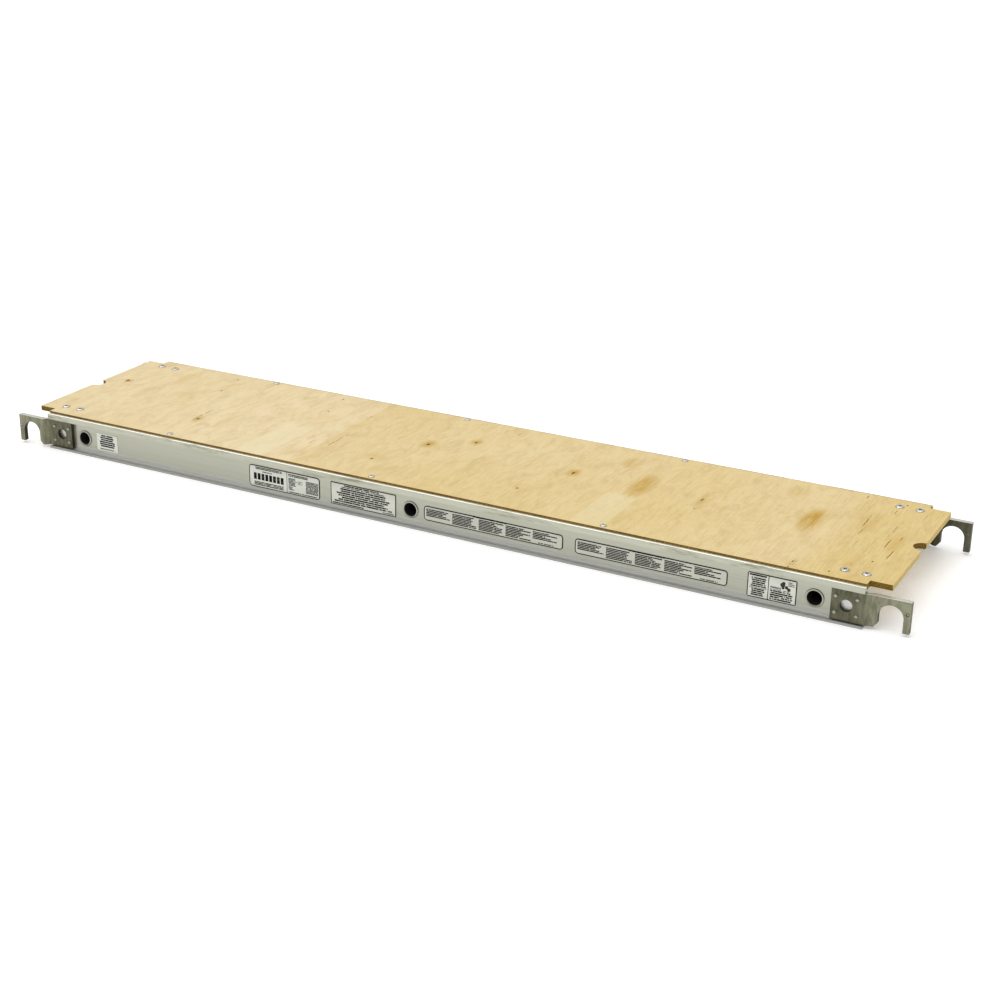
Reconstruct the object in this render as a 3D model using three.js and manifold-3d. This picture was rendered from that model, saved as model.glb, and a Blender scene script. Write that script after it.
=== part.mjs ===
// Scaffold plank: a plywood deck riveted to two extruded aluminium side rails, which three hollow
// cross tubes tie together. A hook riveted to each rail end hangs on the scaffold's bearer tube.
//
// Millimetres. +X runs along the plank, +Y across it and +Z up. The origin is in the middle of the
// plank, level with the underside of the rails. "Near" is the -Y side and "left" the -X end.

import * as THREE from 'three';
import { mergeVertices } from 'three/addons/utils/BufferGeometryUtils.js';
import Module from 'manifold-3d';

const wasm = await Module();
wasm.setup();

// ---------------------------------------------------------------- driving dimensions

const HOOK_SPAN = 2133.6; // between the bearer tubes' centres: a 7 ft scaffold bay
const FIT = 0.3; // gap left between touching pieces
const NEAR = -1;
const FAR = 1;
const LEFT = -1;
const RIGHT = 1;

// Side rails: a web with flanges on both sides, the top one carrying the deck behind a raised lip.
const RAIL_LENGTH = 2032;
const RAIL_HEIGHT = 88.9;
const RAIL_OUTER = 241.3; // half the 19 in overall width
const RAIL_END = RAIL_LENGTH / 2;
const WEB_OUTER = 226.5;
const WEB_INNER = 223.5;
const FLANGE_INNER = 206;
const LIP_INNER = 232.3;
const SEAT_Z = 80.6; // the ledge that the deck lies on
const TOP_FLANGE_UNDER_Z = 77.4;
const DRIP_EDGE_Z = 74.8; // lowest point of the top flange's outer wall
const BOTTOM_FLANGE_Z = 4;
const TOE_Z = 5.5; // raised outer edge of the bottom flange
const WALL = 3.5; // thickness of the rail's outer walls
const TOE_FILLET = 7.5;
const WEB_FILLET = 2.5;
const LIP_ROUND_OUTER = 3;
const LIP_ROUND_INNER = 1.5;
const GROOVE_Z = 2.9; // a shallow groove along the bottom flange's outer edge
const GROOVE_HALF = 0.8;

// Deck: one sheet, wide between the lips and narrower where it runs past the rails.
const DECK_THICKNESS = 12.1;
const DECK_END = 1061;
const DECK_END_HALF_WIDTH = 212.6;
const DECK_BOTTOM_Z = SEAT_Z + FIT;
const DECK_TOP_Z = DECK_BOTTOM_Z + DECK_THICKNESS;
const NOTCH_MOUTH = 43;
const NOTCH_DEPTH = 21.3;
const NOTCH_RADIUS = 20;

// Cross tubes, one at each end of the rails and one in the middle, swaged over the webs.
const TUBE_PITCH = 914.4;
const TUBE_Z = 38.3;
const TUBE_BORE = 15;
const TUBE_RADIUS = 17.5;
const COLLAR_RADIUS = 19.7;
const COLLAR_PROUD = 2.4;
const COLLAR_ROUND = 1.3; // edge rounding outside and at the mouth of the bore
const BEAD_RADIUS = 20.5; // the bead that backs each web on its inner side
const BEAD_WIDTH = 3;
const BEAD_RUNOUT = 1; // length of the bead's slope down to the tube

// Hooks: an extrusion with vertical grain, cut to an arch beyond the rail's end.
const HOOK_BOTTOM_Z = 6.5;
const HOOK_TOP_Z = 73.4;
const HOOK_THICKNESS = 12;
const HOOK_PLATE_START = 949;
const HOOK_PLATE_INNER = WEB_OUTER + FIT;
const HOOK_PLATE_OUTER = 235.5;
const HOOK_HEEL_BEVEL = 4; // clears the fillet at the foot of the rail's web
const HOOK_CENTRE = HOOK_SPAN / 2;
const HOOK_REACH = 38.1; // from the arch's centre to the outer edge of the leg
const ARCH_RADIUS = 24.6;
const ARCH_Z = 34.5;
const JOG_START = RAIL_END + 2;
const JOG_LENGTH = 13;
const INSET_FACE = 220.3; // inner face of the right-hand hooks, which stand inboard
const OUTSET_FACE = 233.3; // inner face of the left-hand hooks, which stand outboard
const PIN_RADIUS = 1.9; // a plugged lock hole: a pin end left standing in its countersink
const PIN_SINK_RADIUS = 3.9;
const PIN_SINK_DEPTH = 2;
const PIN_OFFSET = 32;
const PIN_Z = 47.5;
const POST_CHAMFER = { width: 8, height: 10 }; // beside the throat, on the rail's side

// Corner fastening pattern, shared by the hook, the rail, the corner bracket and the deck.
const CORNER_X = 979.7;
const CORNER_Z = 39.8;
const CORNER_HALF_PITCH_X = 21.6;
const CORNER_HALF_PITCH_Z = 17.4;
const WINDOW_RADIUS = 12.7;
const BRACKET_HALF_WIDTH = 32;
const BRACKET_THICKNESS = 3.5;
const BRACKET_FOOT_Z = 12;
const BRACKET_REACH = 172;
const JOGGLE_START = 205.2;
const JOGGLE_RUN = 4;

// Rivets: radii of the head, shank, tail and dimple, and heights of the crown, dimple and tail.
const HOOK_RIVET = { head: 5.2, crown: 2.8, shank: 3, tail: 4.6, tailDepth: 2.6, dimple: 0, sink: 0 };
const DECK_RIVET = { head: 9.5, crown: 2.9, shank: 3.2, tail: 5.4, tailDepth: 5, dimple: 2.1, sink: 1.5 };
const EDGE_RIVET = { head: 7.3, crown: 2.4, shank: 2.4, tail: 3.6, tailDepth: 4, dimple: 1.7, sink: 1.2 };
const TAIL_TAPER = 0.7; // a tail's end radius over its radius where it bears
const DECK_RIVET_Y = 188;
const EDGE_RIVET_Y = 219.3;
const EDGE_RIVET_X = { left: -660, middle: -104, right: 457 };

// Adhesive labels on the near web, all centred on the height of the cross tubes.
const LABEL_THICKNESS = 0.4;
const LABELS = [
  { name: 'label_left_end', x: -846, width: 63, height: 43, corner: 1.5 },
  { name: 'label_size', x: -333, width: 193, height: 53, corner: 8 },
  { name: 'label_notice', x: -122, width: 170, height: 53, corner: 2 },
  { name: 'label_long_left', x: 202, width: 336, height: 34, corner: 8 },
  { name: 'label_long_right', x: 566, width: 337, height: 34, corner: 8 },
  { name: 'label_right_end', x: 827, width: 102, height: 53, corner: 4 },
];

const OVERCUT = 1; // how far a cutter runs past the surface that it opens
const DRILL_LENGTH = 4 * RAIL_OUTER; // a drill through the middle passes both sides of the plank

const CURVE_STEPS = 3; // segments in a small fillet
const ARCH_STEPS = 16; // segments in the hook's half-round arch
const NOTCH_STEPS = 12; // segments in the round end of a deck notch
const HOLE_SIDES = 10; // a rivet's hole
const ROUND_SIDES = 20; // a cross tube, or the window in a hook
const RIVET_SIDES = 10;

// ---------------------------------------------------------------- materials

function finish(color, roughness, metalness) {
  return () => new THREE.MeshStandardMaterial({ color, roughness, metalness });
}

const plywood = finish(0xe3cf9c, 0.6, 0);
const railAluminium = finish(0xb2b29f, 0.42, 0.9);
const hookAluminium = finish(0x84846f, 0.5, 0.9);
const tubeAluminium = finish(0xa6a798, 0.4, 0.9);
const bracketAluminium = finish(0x9a9a8c, 0.5, 0.9);
const rivetSteel = finish(0xc9cac4, 0.3, 1);
const labelFilm = finish(0xd7d8cf, 0.55, 0);

// ---------------------------------------------------------------- solids and cuts

function toSolid(geometry) {
  const bare = geometry.clone();
  bare.deleteAttribute('normal');
  bare.deleteAttribute('uv');
  const merged = mergeVertices(bare);
  return new wasm.Manifold(
    new wasm.Mesh({
      numProp: 3,
      vertProperties: merged.attributes.position.array,
      triVerts: merged.index.array,
    }),
  );
}

function toGeometry(solid) {
  const { vertProperties, triVerts } = solid.getMesh();
  const geometry = new THREE.BufferGeometry();
  geometry.setAttribute('position', new THREE.BufferAttribute(vertProperties, 3));
  geometry.setIndex(new THREE.BufferAttribute(triVerts, 1));
  geometry.computeVertexNormals();
  return geometry;
}

function cut(geometry, cutters) {
  const body = toSolid(geometry);
  const result = cutters.reduce((rest, cutter) => rest.subtract(toSolid(cutter)), body);
  return toGeometry(result);
}

function outline(points) {
  return new THREE.Shape(points.map(([x, y]) => new THREE.Vector2(x, y)));
}

// Extrudes a shape drawn in X and Y upwards between two heights.
function extrudeUp(shape, bottom, top, steps = CURVE_STEPS) {
  const options = { depth: top - bottom, bevelEnabled: false, curveSegments: steps };
  return new THREE.ExtrudeGeometry(shape, options).translate(0, 0, bottom);
}

// Extrudes a shape drawn in X and Z across the plank between two values of Y.
function extrudeAcross(shape, yLow, yHigh, steps = CURVE_STEPS) {
  return extrudeUp(shape, -yHigh, -yLow, steps).rotateX(Math.PI / 2);
}

// Extrudes a section drawn as distance from the centreline and height along X, for one side.
function extrudeAlong(section, side, xLow, xHigh) {
  const [from, to] = side === FAR ? [xLow, xHigh] : [-xHigh, -xLow];
  const turn = new THREE.Matrix4().makeBasis(
    new THREE.Vector3(0, side, 0),
    new THREE.Vector3(0, 0, 1),
    new THREE.Vector3(side, 0, 0),
  );
  return extrudeUp(section, from, to).applyMatrix4(turn);
}

function cutterAcross(shape, steps = CURVE_STEPS) {
  return extrudeAcross(shape, -DRILL_LENGTH / 2, DRILL_LENGTH / 2, steps);
}

function drillAcross(x, z, radius, sides = HOLE_SIDES) {
  return new THREE.CylinderGeometry(radius, radius, DRILL_LENGTH, sides).translate(x, 0, z);
}

function drillDown(x, y, radius) {
  const drill = new THREE.CylinderGeometry(radius, radius, DRILL_LENGTH, HOLE_SIDES);
  return drill.rotateX(Math.PI / 2).translate(x, y, 0);
}

// ---------------------------------------------------------------- fastening pattern

// The two columns of the corner pattern, inner first.
function cornerColumns(end) {
  return [-1, 1].map((step) => end * (CORNER_X + step * CORNER_HALF_PITCH_X));
}

function hookRivetPlaces(end) {
  const rows = [CORNER_Z - CORNER_HALF_PITCH_Z, CORNER_Z + CORNER_HALF_PITCH_Z];
  return cornerColumns(end).flatMap((x) => rows.map((z) => ({ x, z })));
}

// ---------------------------------------------------------------- side rails

function railSection() {
  const s = new THREE.Shape();
  s.moveTo(FLANGE_INNER, 0);
  s.lineTo(RAIL_OUTER, 0);
  s.lineTo(RAIL_OUTER, GROOVE_Z - GROOVE_HALF);
  s.lineTo(RAIL_OUTER - GROOVE_HALF, GROOVE_Z);
  s.lineTo(RAIL_OUTER, GROOVE_Z + GROOVE_HALF);
  s.lineTo(RAIL_OUTER, TOE_Z);
  s.lineTo(RAIL_OUTER - WALL, TOE_Z);
  s.lineTo(RAIL_OUTER - WALL, BOTTOM_FLANGE_Z);
  const toeY = WEB_OUTER + TOE_FILLET;
  s.absarc(toeY, BOTTOM_FLANGE_Z + TOE_FILLET, TOE_FILLET, -Math.PI / 2, -Math.PI, true);
  const shoulderZ = TOP_FLANGE_UNDER_Z - WEB_FILLET;
  s.absarc(WEB_OUTER + WEB_FILLET, shoulderZ, WEB_FILLET, Math.PI, Math.PI / 2, true);
  s.lineTo(RAIL_OUTER - WALL, TOP_FLANGE_UNDER_Z);
  s.lineTo(RAIL_OUTER - WALL, DRIP_EDGE_Z);
  s.lineTo(RAIL_OUTER, DRIP_EDGE_Z);
  const outerRound = LIP_ROUND_OUTER;
  s.absarc(RAIL_OUTER - outerRound, RAIL_HEIGHT - outerRound, outerRound, 0, Math.PI / 2, false);
  const innerRound = LIP_ROUND_INNER;
  const innerZ = RAIL_HEIGHT - innerRound;
  s.absarc(LIP_INNER + innerRound, innerZ, innerRound, Math.PI / 2, Math.PI, false);
  s.lineTo(LIP_INNER, SEAT_Z);
  s.lineTo(FLANGE_INNER, SEAT_Z);
  s.lineTo(FLANGE_INNER, TOP_FLANGE_UNDER_Z);
  s.lineTo(WEB_INNER, TOP_FLANGE_UNDER_Z);
  const footZ = BOTTOM_FLANGE_Z + WEB_FILLET;
  s.absarc(WEB_INNER - WEB_FILLET, footZ, WEB_FILLET, 0, -Math.PI / 2, true);
  s.lineTo(FLANGE_INNER, BOTTOM_FLANGE_Z);
  s.closePath();
  return s;
}

function sideRail(side) {
  const holes = [-TUBE_PITCH, 0, TUBE_PITCH].map((x) =>
    drillAcross(x, TUBE_Z, TUBE_RADIUS + FIT, ROUND_SIDES),
  );
  for (const end of [LEFT, RIGHT]) {
    for (const { x, z } of hookRivetPlaces(end)) {
      holes.push(drillAcross(x, z, HOOK_RIVET.shank + FIT));
    }
  }
  for (const x of Object.values(EDGE_RIVET_X)) {
    holes.push(drillDown(x, side * EDGE_RIVET_Y, EDGE_RIVET.shank + FIT));
  }
  return cut(extrudeAlong(railSection(), side, -RAIL_END, RAIL_END), holes);
}

// ---------------------------------------------------------------- deck

// A half-round notch: short sides run tangent from the round to a slightly wider mouth.
function notchCutter(end) {
  const roundX = DECK_END - NOTCH_DEPTH + NOTCH_RADIUS;
  const toMouth = new THREE.Vector2(DECK_END - roundX, NOTCH_MOUTH / 2);
  const tangent = toMouth.angle() + Math.acos(NOTCH_RADIUS / toMouth.length());
  const flare = new THREE.Vector2(Math.sin(tangent), -Math.cos(tangent));
  const pastMouth = toMouth.clone().addScaledVector(flare, OVERCUT);
  const points = [[roundX + pastMouth.x, pastMouth.y]];
  for (let i = 0; i <= NOTCH_STEPS; i += 1) {
    const angle = tangent + (i / NOTCH_STEPS) * 2 * (Math.PI - tangent);
    points.push([roundX + NOTCH_RADIUS * Math.cos(angle), NOTCH_RADIUS * Math.sin(angle)]);
  }
  points.push([roundX + pastMouth.x, -pastMouth.y]);
  const signed = points.map(([x, y]) => [end * x, y]);
  return extrudeUp(outline(signed), DECK_BOTTOM_Z - OVERCUT, DECK_TOP_Z + OVERCUT);
}

function deckPanel() {
  const halfWidth = LIP_INNER - FIT;
  const corner = (end, side) => [
    [end * DECK_END, side * DECK_END_HALF_WIDTH],
    [end * RAIL_END, side * DECK_END_HALF_WIDTH],
    [end * RAIL_END, side * halfWidth],
  ];
  const points = [
    ...corner(RIGHT, FAR),
    ...corner(LEFT, FAR).reverse(),
    ...corner(LEFT, NEAR),
    ...corner(RIGHT, NEAR).reverse(),
  ];
  const cutters = [notchCutter(LEFT), notchCutter(RIGHT)];
  for (const side of [NEAR, FAR]) {
    for (const x of [...cornerColumns(LEFT), ...cornerColumns(RIGHT)]) {
      cutters.push(drillDown(x, side * DECK_RIVET_Y, DECK_RIVET.shank + FIT));
    }
    for (const x of Object.values(EDGE_RIVET_X)) {
      cutters.push(drillDown(x, side * EDGE_RIVET_Y, EDGE_RIVET.shank + FIT));
    }
  }
  return cut(extrudeUp(outline(points), DECK_BOTTOM_Z, DECK_TOP_Z), cutters);
}

// ---------------------------------------------------------------- cross tubes

// Half of the tube's section, from the middle out: body, inner bead, neck through the web, and a
// rounded collar whose mouth flares into the bore.
function crossTube() {
  const beadFace = WEB_INNER - FIT;
  const collarFace = WEB_OUTER + FIT;
  const end = collarFace + COLLAR_PROUD;
  const half = [
    [TUBE_RADIUS, beadFace - BEAD_WIDTH - BEAD_RUNOUT],
    [BEAD_RADIUS, beadFace - BEAD_WIDTH],
    [BEAD_RADIUS, beadFace],
    [TUBE_RADIUS, beadFace],
    [TUBE_RADIUS, collarFace],
    [COLLAR_RADIUS, collarFace],
    [COLLAR_RADIUS, end - COLLAR_ROUND],
    [COLLAR_RADIUS - COLLAR_ROUND, end],
    [TUBE_BORE + COLLAR_ROUND, end],
    [TUBE_BORE, end - 2 * COLLAR_ROUND],
  ];
  const mirrored = half.map(([r, y]) => [r, -y]).reverse();
  const ring = [...mirrored, ...half];
  const profile = [...ring, ring[0]].map(([r, y]) => new THREE.Vector2(r, y));
  return new THREE.LatheGeometry(profile, ROUND_SIDES);
}

// ---------------------------------------------------------------- hooks

// One face of the hook seen from above: along the plate, round the jog and out to the tip.
function jogFace(plateFace, hookFace) {
  const points = [[HOOK_PLATE_START, plateFace]];
  for (let i = 0; i <= CURVE_STEPS; i += 1) {
    const along = i / CURVE_STEPS;
    const ease = 0.5 - 0.5 * Math.cos(Math.PI * along);
    const y = THREE.MathUtils.lerp(plateFace, hookFace, ease);
    points.push([JOG_START + along * JOG_LENGTH, y]);
  }
  points.push([HOOK_CENTRE + HOOK_REACH, hookFace]);
  return points;
}

function throatCutter(end) {
  const centre = end * HOOK_CENTRE;
  const low = HOOK_BOTTOM_Z - OVERCUT;
  const s = new THREE.Shape();
  s.moveTo(centre + ARCH_RADIUS, low);
  s.lineTo(centre + ARCH_RADIUS, ARCH_Z);
  s.absarc(centre, ARCH_Z, ARCH_RADIUS, 0, Math.PI, false);
  s.lineTo(centre - ARCH_RADIUS, low);
  s.closePath();
  return cutterAcross(s, ARCH_STEPS);
}

// A corner cut off the foot of the hook, inwards from its vertical edge at x.
function footChamfer(end, x, { width, height }) {
  const points = [
    [end * (x - width), HOOK_BOTTOM_Z - OVERCUT],
    [end * (x + OVERCUT), HOOK_BOTTOM_Z - OVERCUT],
    [end * (x + OVERCUT), HOOK_BOTTOM_Z + height],
    [end * x, HOOK_BOTTOM_Z + height],
    [end * (x - width), HOOK_BOTTOM_Z],
  ];
  return cutterAcross(outline(points));
}

// The ring-shaped sink round the pin, on the hook's outer face.
function pinSink(side, end, outerFace) {
  const ring = [
    [PIN_RADIUS, -PIN_SINK_DEPTH],
    [PIN_SINK_RADIUS, -PIN_SINK_DEPTH],
    [PIN_SINK_RADIUS, PIN_SINK_DEPTH],
    [PIN_RADIUS, PIN_SINK_DEPTH],
    [PIN_RADIUS, -PIN_SINK_DEPTH],
  ].map(([r, y]) => new THREE.Vector2(r, y));
  const sink = new THREE.LatheGeometry(ring, HOLE_SIDES);
  return sink.translate(end * (HOOK_CENTRE + PIN_OFFSET), side * outerFace, PIN_Z);
}

function heelBevel(side) {
  const foot = HOOK_BOTTOM_Z;
  const triangle = outline([
    [HOOK_PLATE_INNER - OVERCUT, foot - OVERCUT],
    [HOOK_PLATE_INNER + HOOK_HEEL_BEVEL + OVERCUT, foot - OVERCUT],
    [HOOK_PLATE_INNER - OVERCUT, foot + HOOK_HEEL_BEVEL + OVERCUT],
  ]);
  return [LEFT, RIGHT].map((end) => {
    const ends = [end * (HOOK_PLATE_START - OVERCUT), end * JOG_START].sort((a, b) => a - b);
    return extrudeAlong(triangle, side, ...ends);
  });
}

function hook(side, end) {
  const innerFace = end === RIGHT ? INSET_FACE : OUTSET_FACE;
  const plan = [
    ...jogFace(HOOK_PLATE_OUTER, innerFace + HOOK_THICKNESS),
    ...jogFace(HOOK_PLATE_INNER, innerFace).reverse(),
  ];
  const signed = plan.map(([x, y]) => [end * x, side * y]);
  const bar = extrudeUp(outline(signed), HOOK_BOTTOM_Z, HOOK_TOP_Z);
  const rivetHoles = hookRivetPlaces(end).map(({ x, z }) =>
    drillAcross(x, z, HOOK_RIVET.shank + FIT),
  );
  return cut(bar, [
    throatCutter(end),
    footChamfer(end, HOOK_CENTRE - ARCH_RADIUS, POST_CHAMFER),
    drillAcross(end * CORNER_X, CORNER_Z, WINDOW_RADIUS, ROUND_SIDES),
    pinSink(side, end, innerFace + HOOK_THICKNESS),
    ...heelBevel(side),
    ...rivetHoles,
  ]);
}

// ---------------------------------------------------------------- corner brackets

// An angle inside each rail end. Its upright leg takes the hook's rivets, and its flat leg is
// joggled up from under the rail's flange to the underside of the deck, for the deck's rivets.
function cornerBracket(side, end) {
  const upright = WEB_INNER - FIT;
  const under = TOP_FLANGE_UNDER_Z - FIT;
  const joggleEnd = JOGGLE_START - JOGGLE_RUN;
  const slope = Math.atan2(SEAT_Z - under, JOGGLE_RUN);
  const lean = BRACKET_THICKNESS * Math.tan(slope / 2); // keeps the sheet's thickness round the joggle
  const section = outline([
    [upright, BRACKET_FOOT_Z],
    [upright, under],
    [JOGGLE_START, under],
    [joggleEnd, SEAT_Z],
    [BRACKET_REACH, SEAT_Z],
    [BRACKET_REACH, SEAT_Z - BRACKET_THICKNESS],
    [joggleEnd - lean, SEAT_Z - BRACKET_THICKNESS],
    [JOGGLE_START - lean, under - BRACKET_THICKNESS],
    [upright - BRACKET_THICKNESS, under - BRACKET_THICKNESS],
    [upright - BRACKET_THICKNESS, BRACKET_FOOT_Z],
  ]);
  const low = end * CORNER_X - BRACKET_HALF_WIDTH;
  const plate = extrudeAlong(section, side, low, low + 2 * BRACKET_HALF_WIDTH);
  const holes = hookRivetPlaces(end).map(({ x, z }) =>
    drillAcross(x, z, HOOK_RIVET.shank + FIT),
  );
  for (const x of cornerColumns(end)) {
    holes.push(drillDown(x, side * DECK_RIVET_Y, DECK_RIVET.shank + FIT));
  }
  return cut(plate, holes);
}

// ---------------------------------------------------------------- rivets

// The dome of a rivet's head: an ellipse from the rim up to a given radius near its middle.
function dome(head, crown, innerRadius) {
  const sweep = Math.acos(innerRadius / head);
  const points = [];
  for (let i = 0; i <= CURVE_STEPS; i += 1) {
    const angle = (i / CURVE_STEPS) * sweep;
    points.push([head * Math.cos(angle), FIT + (crown - FIT) * Math.sin(angle)]);
  }
  return points;
}

// A rivet along +Y: its domed head rests on y = 0 and its formed tail is at y = -grip.
function rivet({ head, crown, shank, tail, tailDepth, dimple, sink }, grip) {
  const seat = -grip - FIT;
  const profile = [
    [0, seat - tailDepth],
    [TAIL_TAPER * tail, seat - tailDepth],
    [tail, seat],
    [shank, seat],
    [shank, FIT],
    ...dome(head, crown, dimple),
  ];
  if (dimple > 0) {
    profile.push([dimple, crown - sink]);
    profile.push([0, crown - sink]);
  } else {
    profile[profile.length - 1] = [0, crown];
  }
  return new THREE.LatheGeometry(profile.map(([r, y]) => new THREE.Vector2(r, y)), RIVET_SIDES);
}

// ---------------------------------------------------------------- labels

function label({ width, height, corner }) {
  const [w, h, r] = [width / 2, height / 2, corner];
  const s = new THREE.Shape();
  s.absarc(w - r, r - h, r, -Math.PI / 2, 0, false);
  s.absarc(w - r, h - r, r, 0, Math.PI / 2, false);
  s.absarc(r - w, h - r, r, Math.PI / 2, Math.PI, false);
  s.absarc(r - w, r - h, r, Math.PI, 1.5 * Math.PI, false);
  s.closePath();
  const back = -WEB_OUTER - FIT;
  return extrudeAcross(s, back - LABEL_THICKNESS, back);
}

// ---------------------------------------------------------------- assembly

const plank = new THREE.Group();

function add(name, geometry, material, position = [0, 0, 0], turnX = 0) {
  const mesh = new THREE.Mesh(geometry, material());
  mesh.name = name;
  mesh.position.set(...position);
  mesh.rotation.x = turnX;
  plank.add(mesh);
}

const sides = [['near', NEAR], ['far', FAR]];
const ends = [['left', LEFT], ['right', RIGHT]];
const UPRIGHT = Math.PI / 2; // turns a piece made along +Y to point up

add('deck_panel', deckPanel(), plywood);

for (const [sideName, side] of sides) {
  add(`side_rail_${sideName}`, sideRail(side), railAluminium);
}

for (const [place, x] of [['left', -TUBE_PITCH], ['middle', 0], ['right', TUBE_PITCH]]) {
  add(`cross_tube_${place}`, crossTube(), tubeAluminium, [x, 0, TUBE_Z]);
}

for (const [sideName, side] of sides) {
  for (const [endName, end] of ends) {
    const corner = `${sideName}_${endName}`;
    add(`hook_${corner}`, hook(side, end), hookAluminium);
    add(`corner_bracket_${corner}`, cornerBracket(side, end), bracketAluminium);

    const hookGrip = HOOK_PLATE_OUTER - (WEB_INNER - FIT - BRACKET_THICKNESS);
    const outwards = side === FAR ? 0 : Math.PI;
    hookRivetPlaces(end).forEach(({ x, z }, i) => {
      const place = [x, side * HOOK_PLATE_OUTER, z];
      add(`hook_rivet_${corner}_${i + 1}`, rivet(HOOK_RIVET, hookGrip), rivetSteel, place, outwards);
    });

    const deckGrip = DECK_TOP_Z - (SEAT_Z - BRACKET_THICKNESS);
    cornerColumns(end).forEach((x, i) => {
      const place = [x, side * DECK_RIVET_Y, DECK_TOP_Z];
      add(`deck_rivet_${corner}_${i + 1}`, rivet(DECK_RIVET, deckGrip), rivetSteel, place, UPRIGHT);
    });
  }

  const edgeGrip = DECK_TOP_Z - TOP_FLANGE_UNDER_Z;
  for (const [place, x] of Object.entries(EDGE_RIVET_X)) {
    const position = [x, side * EDGE_RIVET_Y, DECK_TOP_Z];
    const name = `edge_rivet_${sideName}_${place}`;
    add(name, rivet(EDGE_RIVET, edgeGrip), rivetSteel, position, UPRIGHT);
  }
}

for (const sheet of LABELS) {
  add(sheet.name, label(sheet), labelFilm, [sheet.x, 0, TUBE_Z]);
}

export default plank;
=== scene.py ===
# Looks of the scaffold plank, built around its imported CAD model.
#
# Metres, in the CAD frame: +X runs along the plank, +Y across it and +Z up. The origin is in the
# middle of the plank, level with the underside of the rails. "Near" is the -Y side and "left" the
# -X end. Every piece has its place in its mesh, so object coordinates are frame coordinates.

import math

import bmesh
import bpy
from mathutils import Matrix, Vector
from mathutils.geometry import tessellate_polygon


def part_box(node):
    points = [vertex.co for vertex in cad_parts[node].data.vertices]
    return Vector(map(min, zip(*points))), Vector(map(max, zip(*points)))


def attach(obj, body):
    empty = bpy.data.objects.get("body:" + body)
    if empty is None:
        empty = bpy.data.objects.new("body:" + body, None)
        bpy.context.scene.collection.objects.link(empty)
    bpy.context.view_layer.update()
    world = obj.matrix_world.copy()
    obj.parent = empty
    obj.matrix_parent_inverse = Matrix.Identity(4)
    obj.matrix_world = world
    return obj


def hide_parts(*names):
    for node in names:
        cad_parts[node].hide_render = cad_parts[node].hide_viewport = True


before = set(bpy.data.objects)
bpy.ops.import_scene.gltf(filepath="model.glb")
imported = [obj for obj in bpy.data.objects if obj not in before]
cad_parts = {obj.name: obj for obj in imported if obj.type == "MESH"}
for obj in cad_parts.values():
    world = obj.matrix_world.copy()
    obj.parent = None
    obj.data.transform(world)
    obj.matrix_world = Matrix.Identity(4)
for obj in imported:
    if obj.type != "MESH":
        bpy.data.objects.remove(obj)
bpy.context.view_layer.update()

SIDES = {"near": -1, "far": 1}
ENDS = {"left": -1, "right": 1}
TUBES = ("left", "middle", "right")
MM = 0.001


def low(node):
    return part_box(node)[0]


def high(node):
    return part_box(node)[1]


def centre(node):
    return (low(node) + high(node)) / 2


# ---- sizes

RAIL_END, RAIL_OUTER, RAIL_TOP = high("side_rail_far")
FLANGE_INNER = low("side_rail_far").y
WEB_OUTER = 226.5 * MM
WEB_INNER = 223.5 * MM
LIP_INNER = 232.3 * MM
SEAT_Z = 80.6 * MM
TOP_FLANGE_UNDER = 77.4 * MM
DRIP_EDGE = 74.8 * MM
BOTTOM_FLANGE = 4 * MM
TOE_TOP = 5.5 * MM
WALL = 3.5 * MM
TOE_FILLET = 7.5 * MM
WEB_FILLET = 2.5 * MM
LIP_ROUND_OUTER = 3 * MM
LIP_ROUND_INNER = 1.5 * MM
GROOVE_Z = 2.9 * MM
GROOVE_HALF = 0.8 * MM
EXTRUSION_ROUND = 0.35 * MM  # softness of an extrusion's sharp corners
SAWN_ROUND = 0.2 * MM  # softness of a sawn end

DECK_END, DECK_HALF_WIDTH, DECK_TOP = high("deck_panel")
DECK_END_HALF_WIDTH = 212.6 * MM
DECK_BOTTOM = low("deck_panel").z
DECK_ROUND = 0.5 * MM
DECK_CORNER_ROUND = 1.2 * MM
NOTCH_HALF_MOUTH = 21.5 * MM
NOTCH_DEPTH = 21.3 * MM
NOTCH_RADIUS = 20 * MM
PLIES = 9
PLY_PITCH = (DECK_TOP - DECK_BOTTOM) / PLIES
PLY_RELIEF = 0.12 * MM  # how far every other ply is worn back
PLY_STEP = 0.04 * MM  # half the height over which one ply's edge gives way to the next

TUBE_Z = centre("cross_tube_middle").z
TUBE_HALF_LENGTH = high("cross_tube_middle").y
TUBE_BORE = 15 * MM
TUBE_RADIUS = 17.5 * MM
COLLAR_RADIUS = 19.7 * MM
BEAD_RADIUS = high("cross_tube_middle").x
BEAD_WIDTH = 3 * MM
BORE_DEPTH_DARK = 4 * MM  # the bore is unpolished and painted dark with shade from here inwards

PLATE_START = 949 * MM
PLATE_INNER = 226.8 * MM
PLATE_OUTER = 235.5 * MM
HOOK_TIP = high("hook_near_right").x
HOOK_BOTTOM = low("hook_near_right").z
HOOK_TOP = high("hook_near_right").z
HOOK_THICKNESS = 12 * MM
HOOK_INNER = {"left": 233.3 * MM, "right": 220.3 * MM}
HEEL_BEVEL = 4 * MM
ARCH_X = HOOK_TIP - 38.1 * MM
ARCH_RADIUS = 24.6 * MM
ARCH_Z = 34.5 * MM
JOG_START = RAIL_END + 2 * MM
JOG_LENGTH = 13 * MM
POST_CHAMFER = (8 * MM, 10 * MM)
HOOK_CORNER_ROUND = 0.9 * MM
HOOK_EDGE_ROUND = 0.7 * MM
PIN_RADIUS = 1.9 * MM
PIN_WORN = 0.3 * MM  # how much smaller the pin is at its worn end
PIN_SINK_RADIUS = 3.9 * MM
PIN_SINK_DEPTH = 2 * MM
PIN_X = ARCH_X + 32 * MM
PIN_Z = 47.5 * MM
WINDOW_RADIUS = 12.7 * MM
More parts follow.
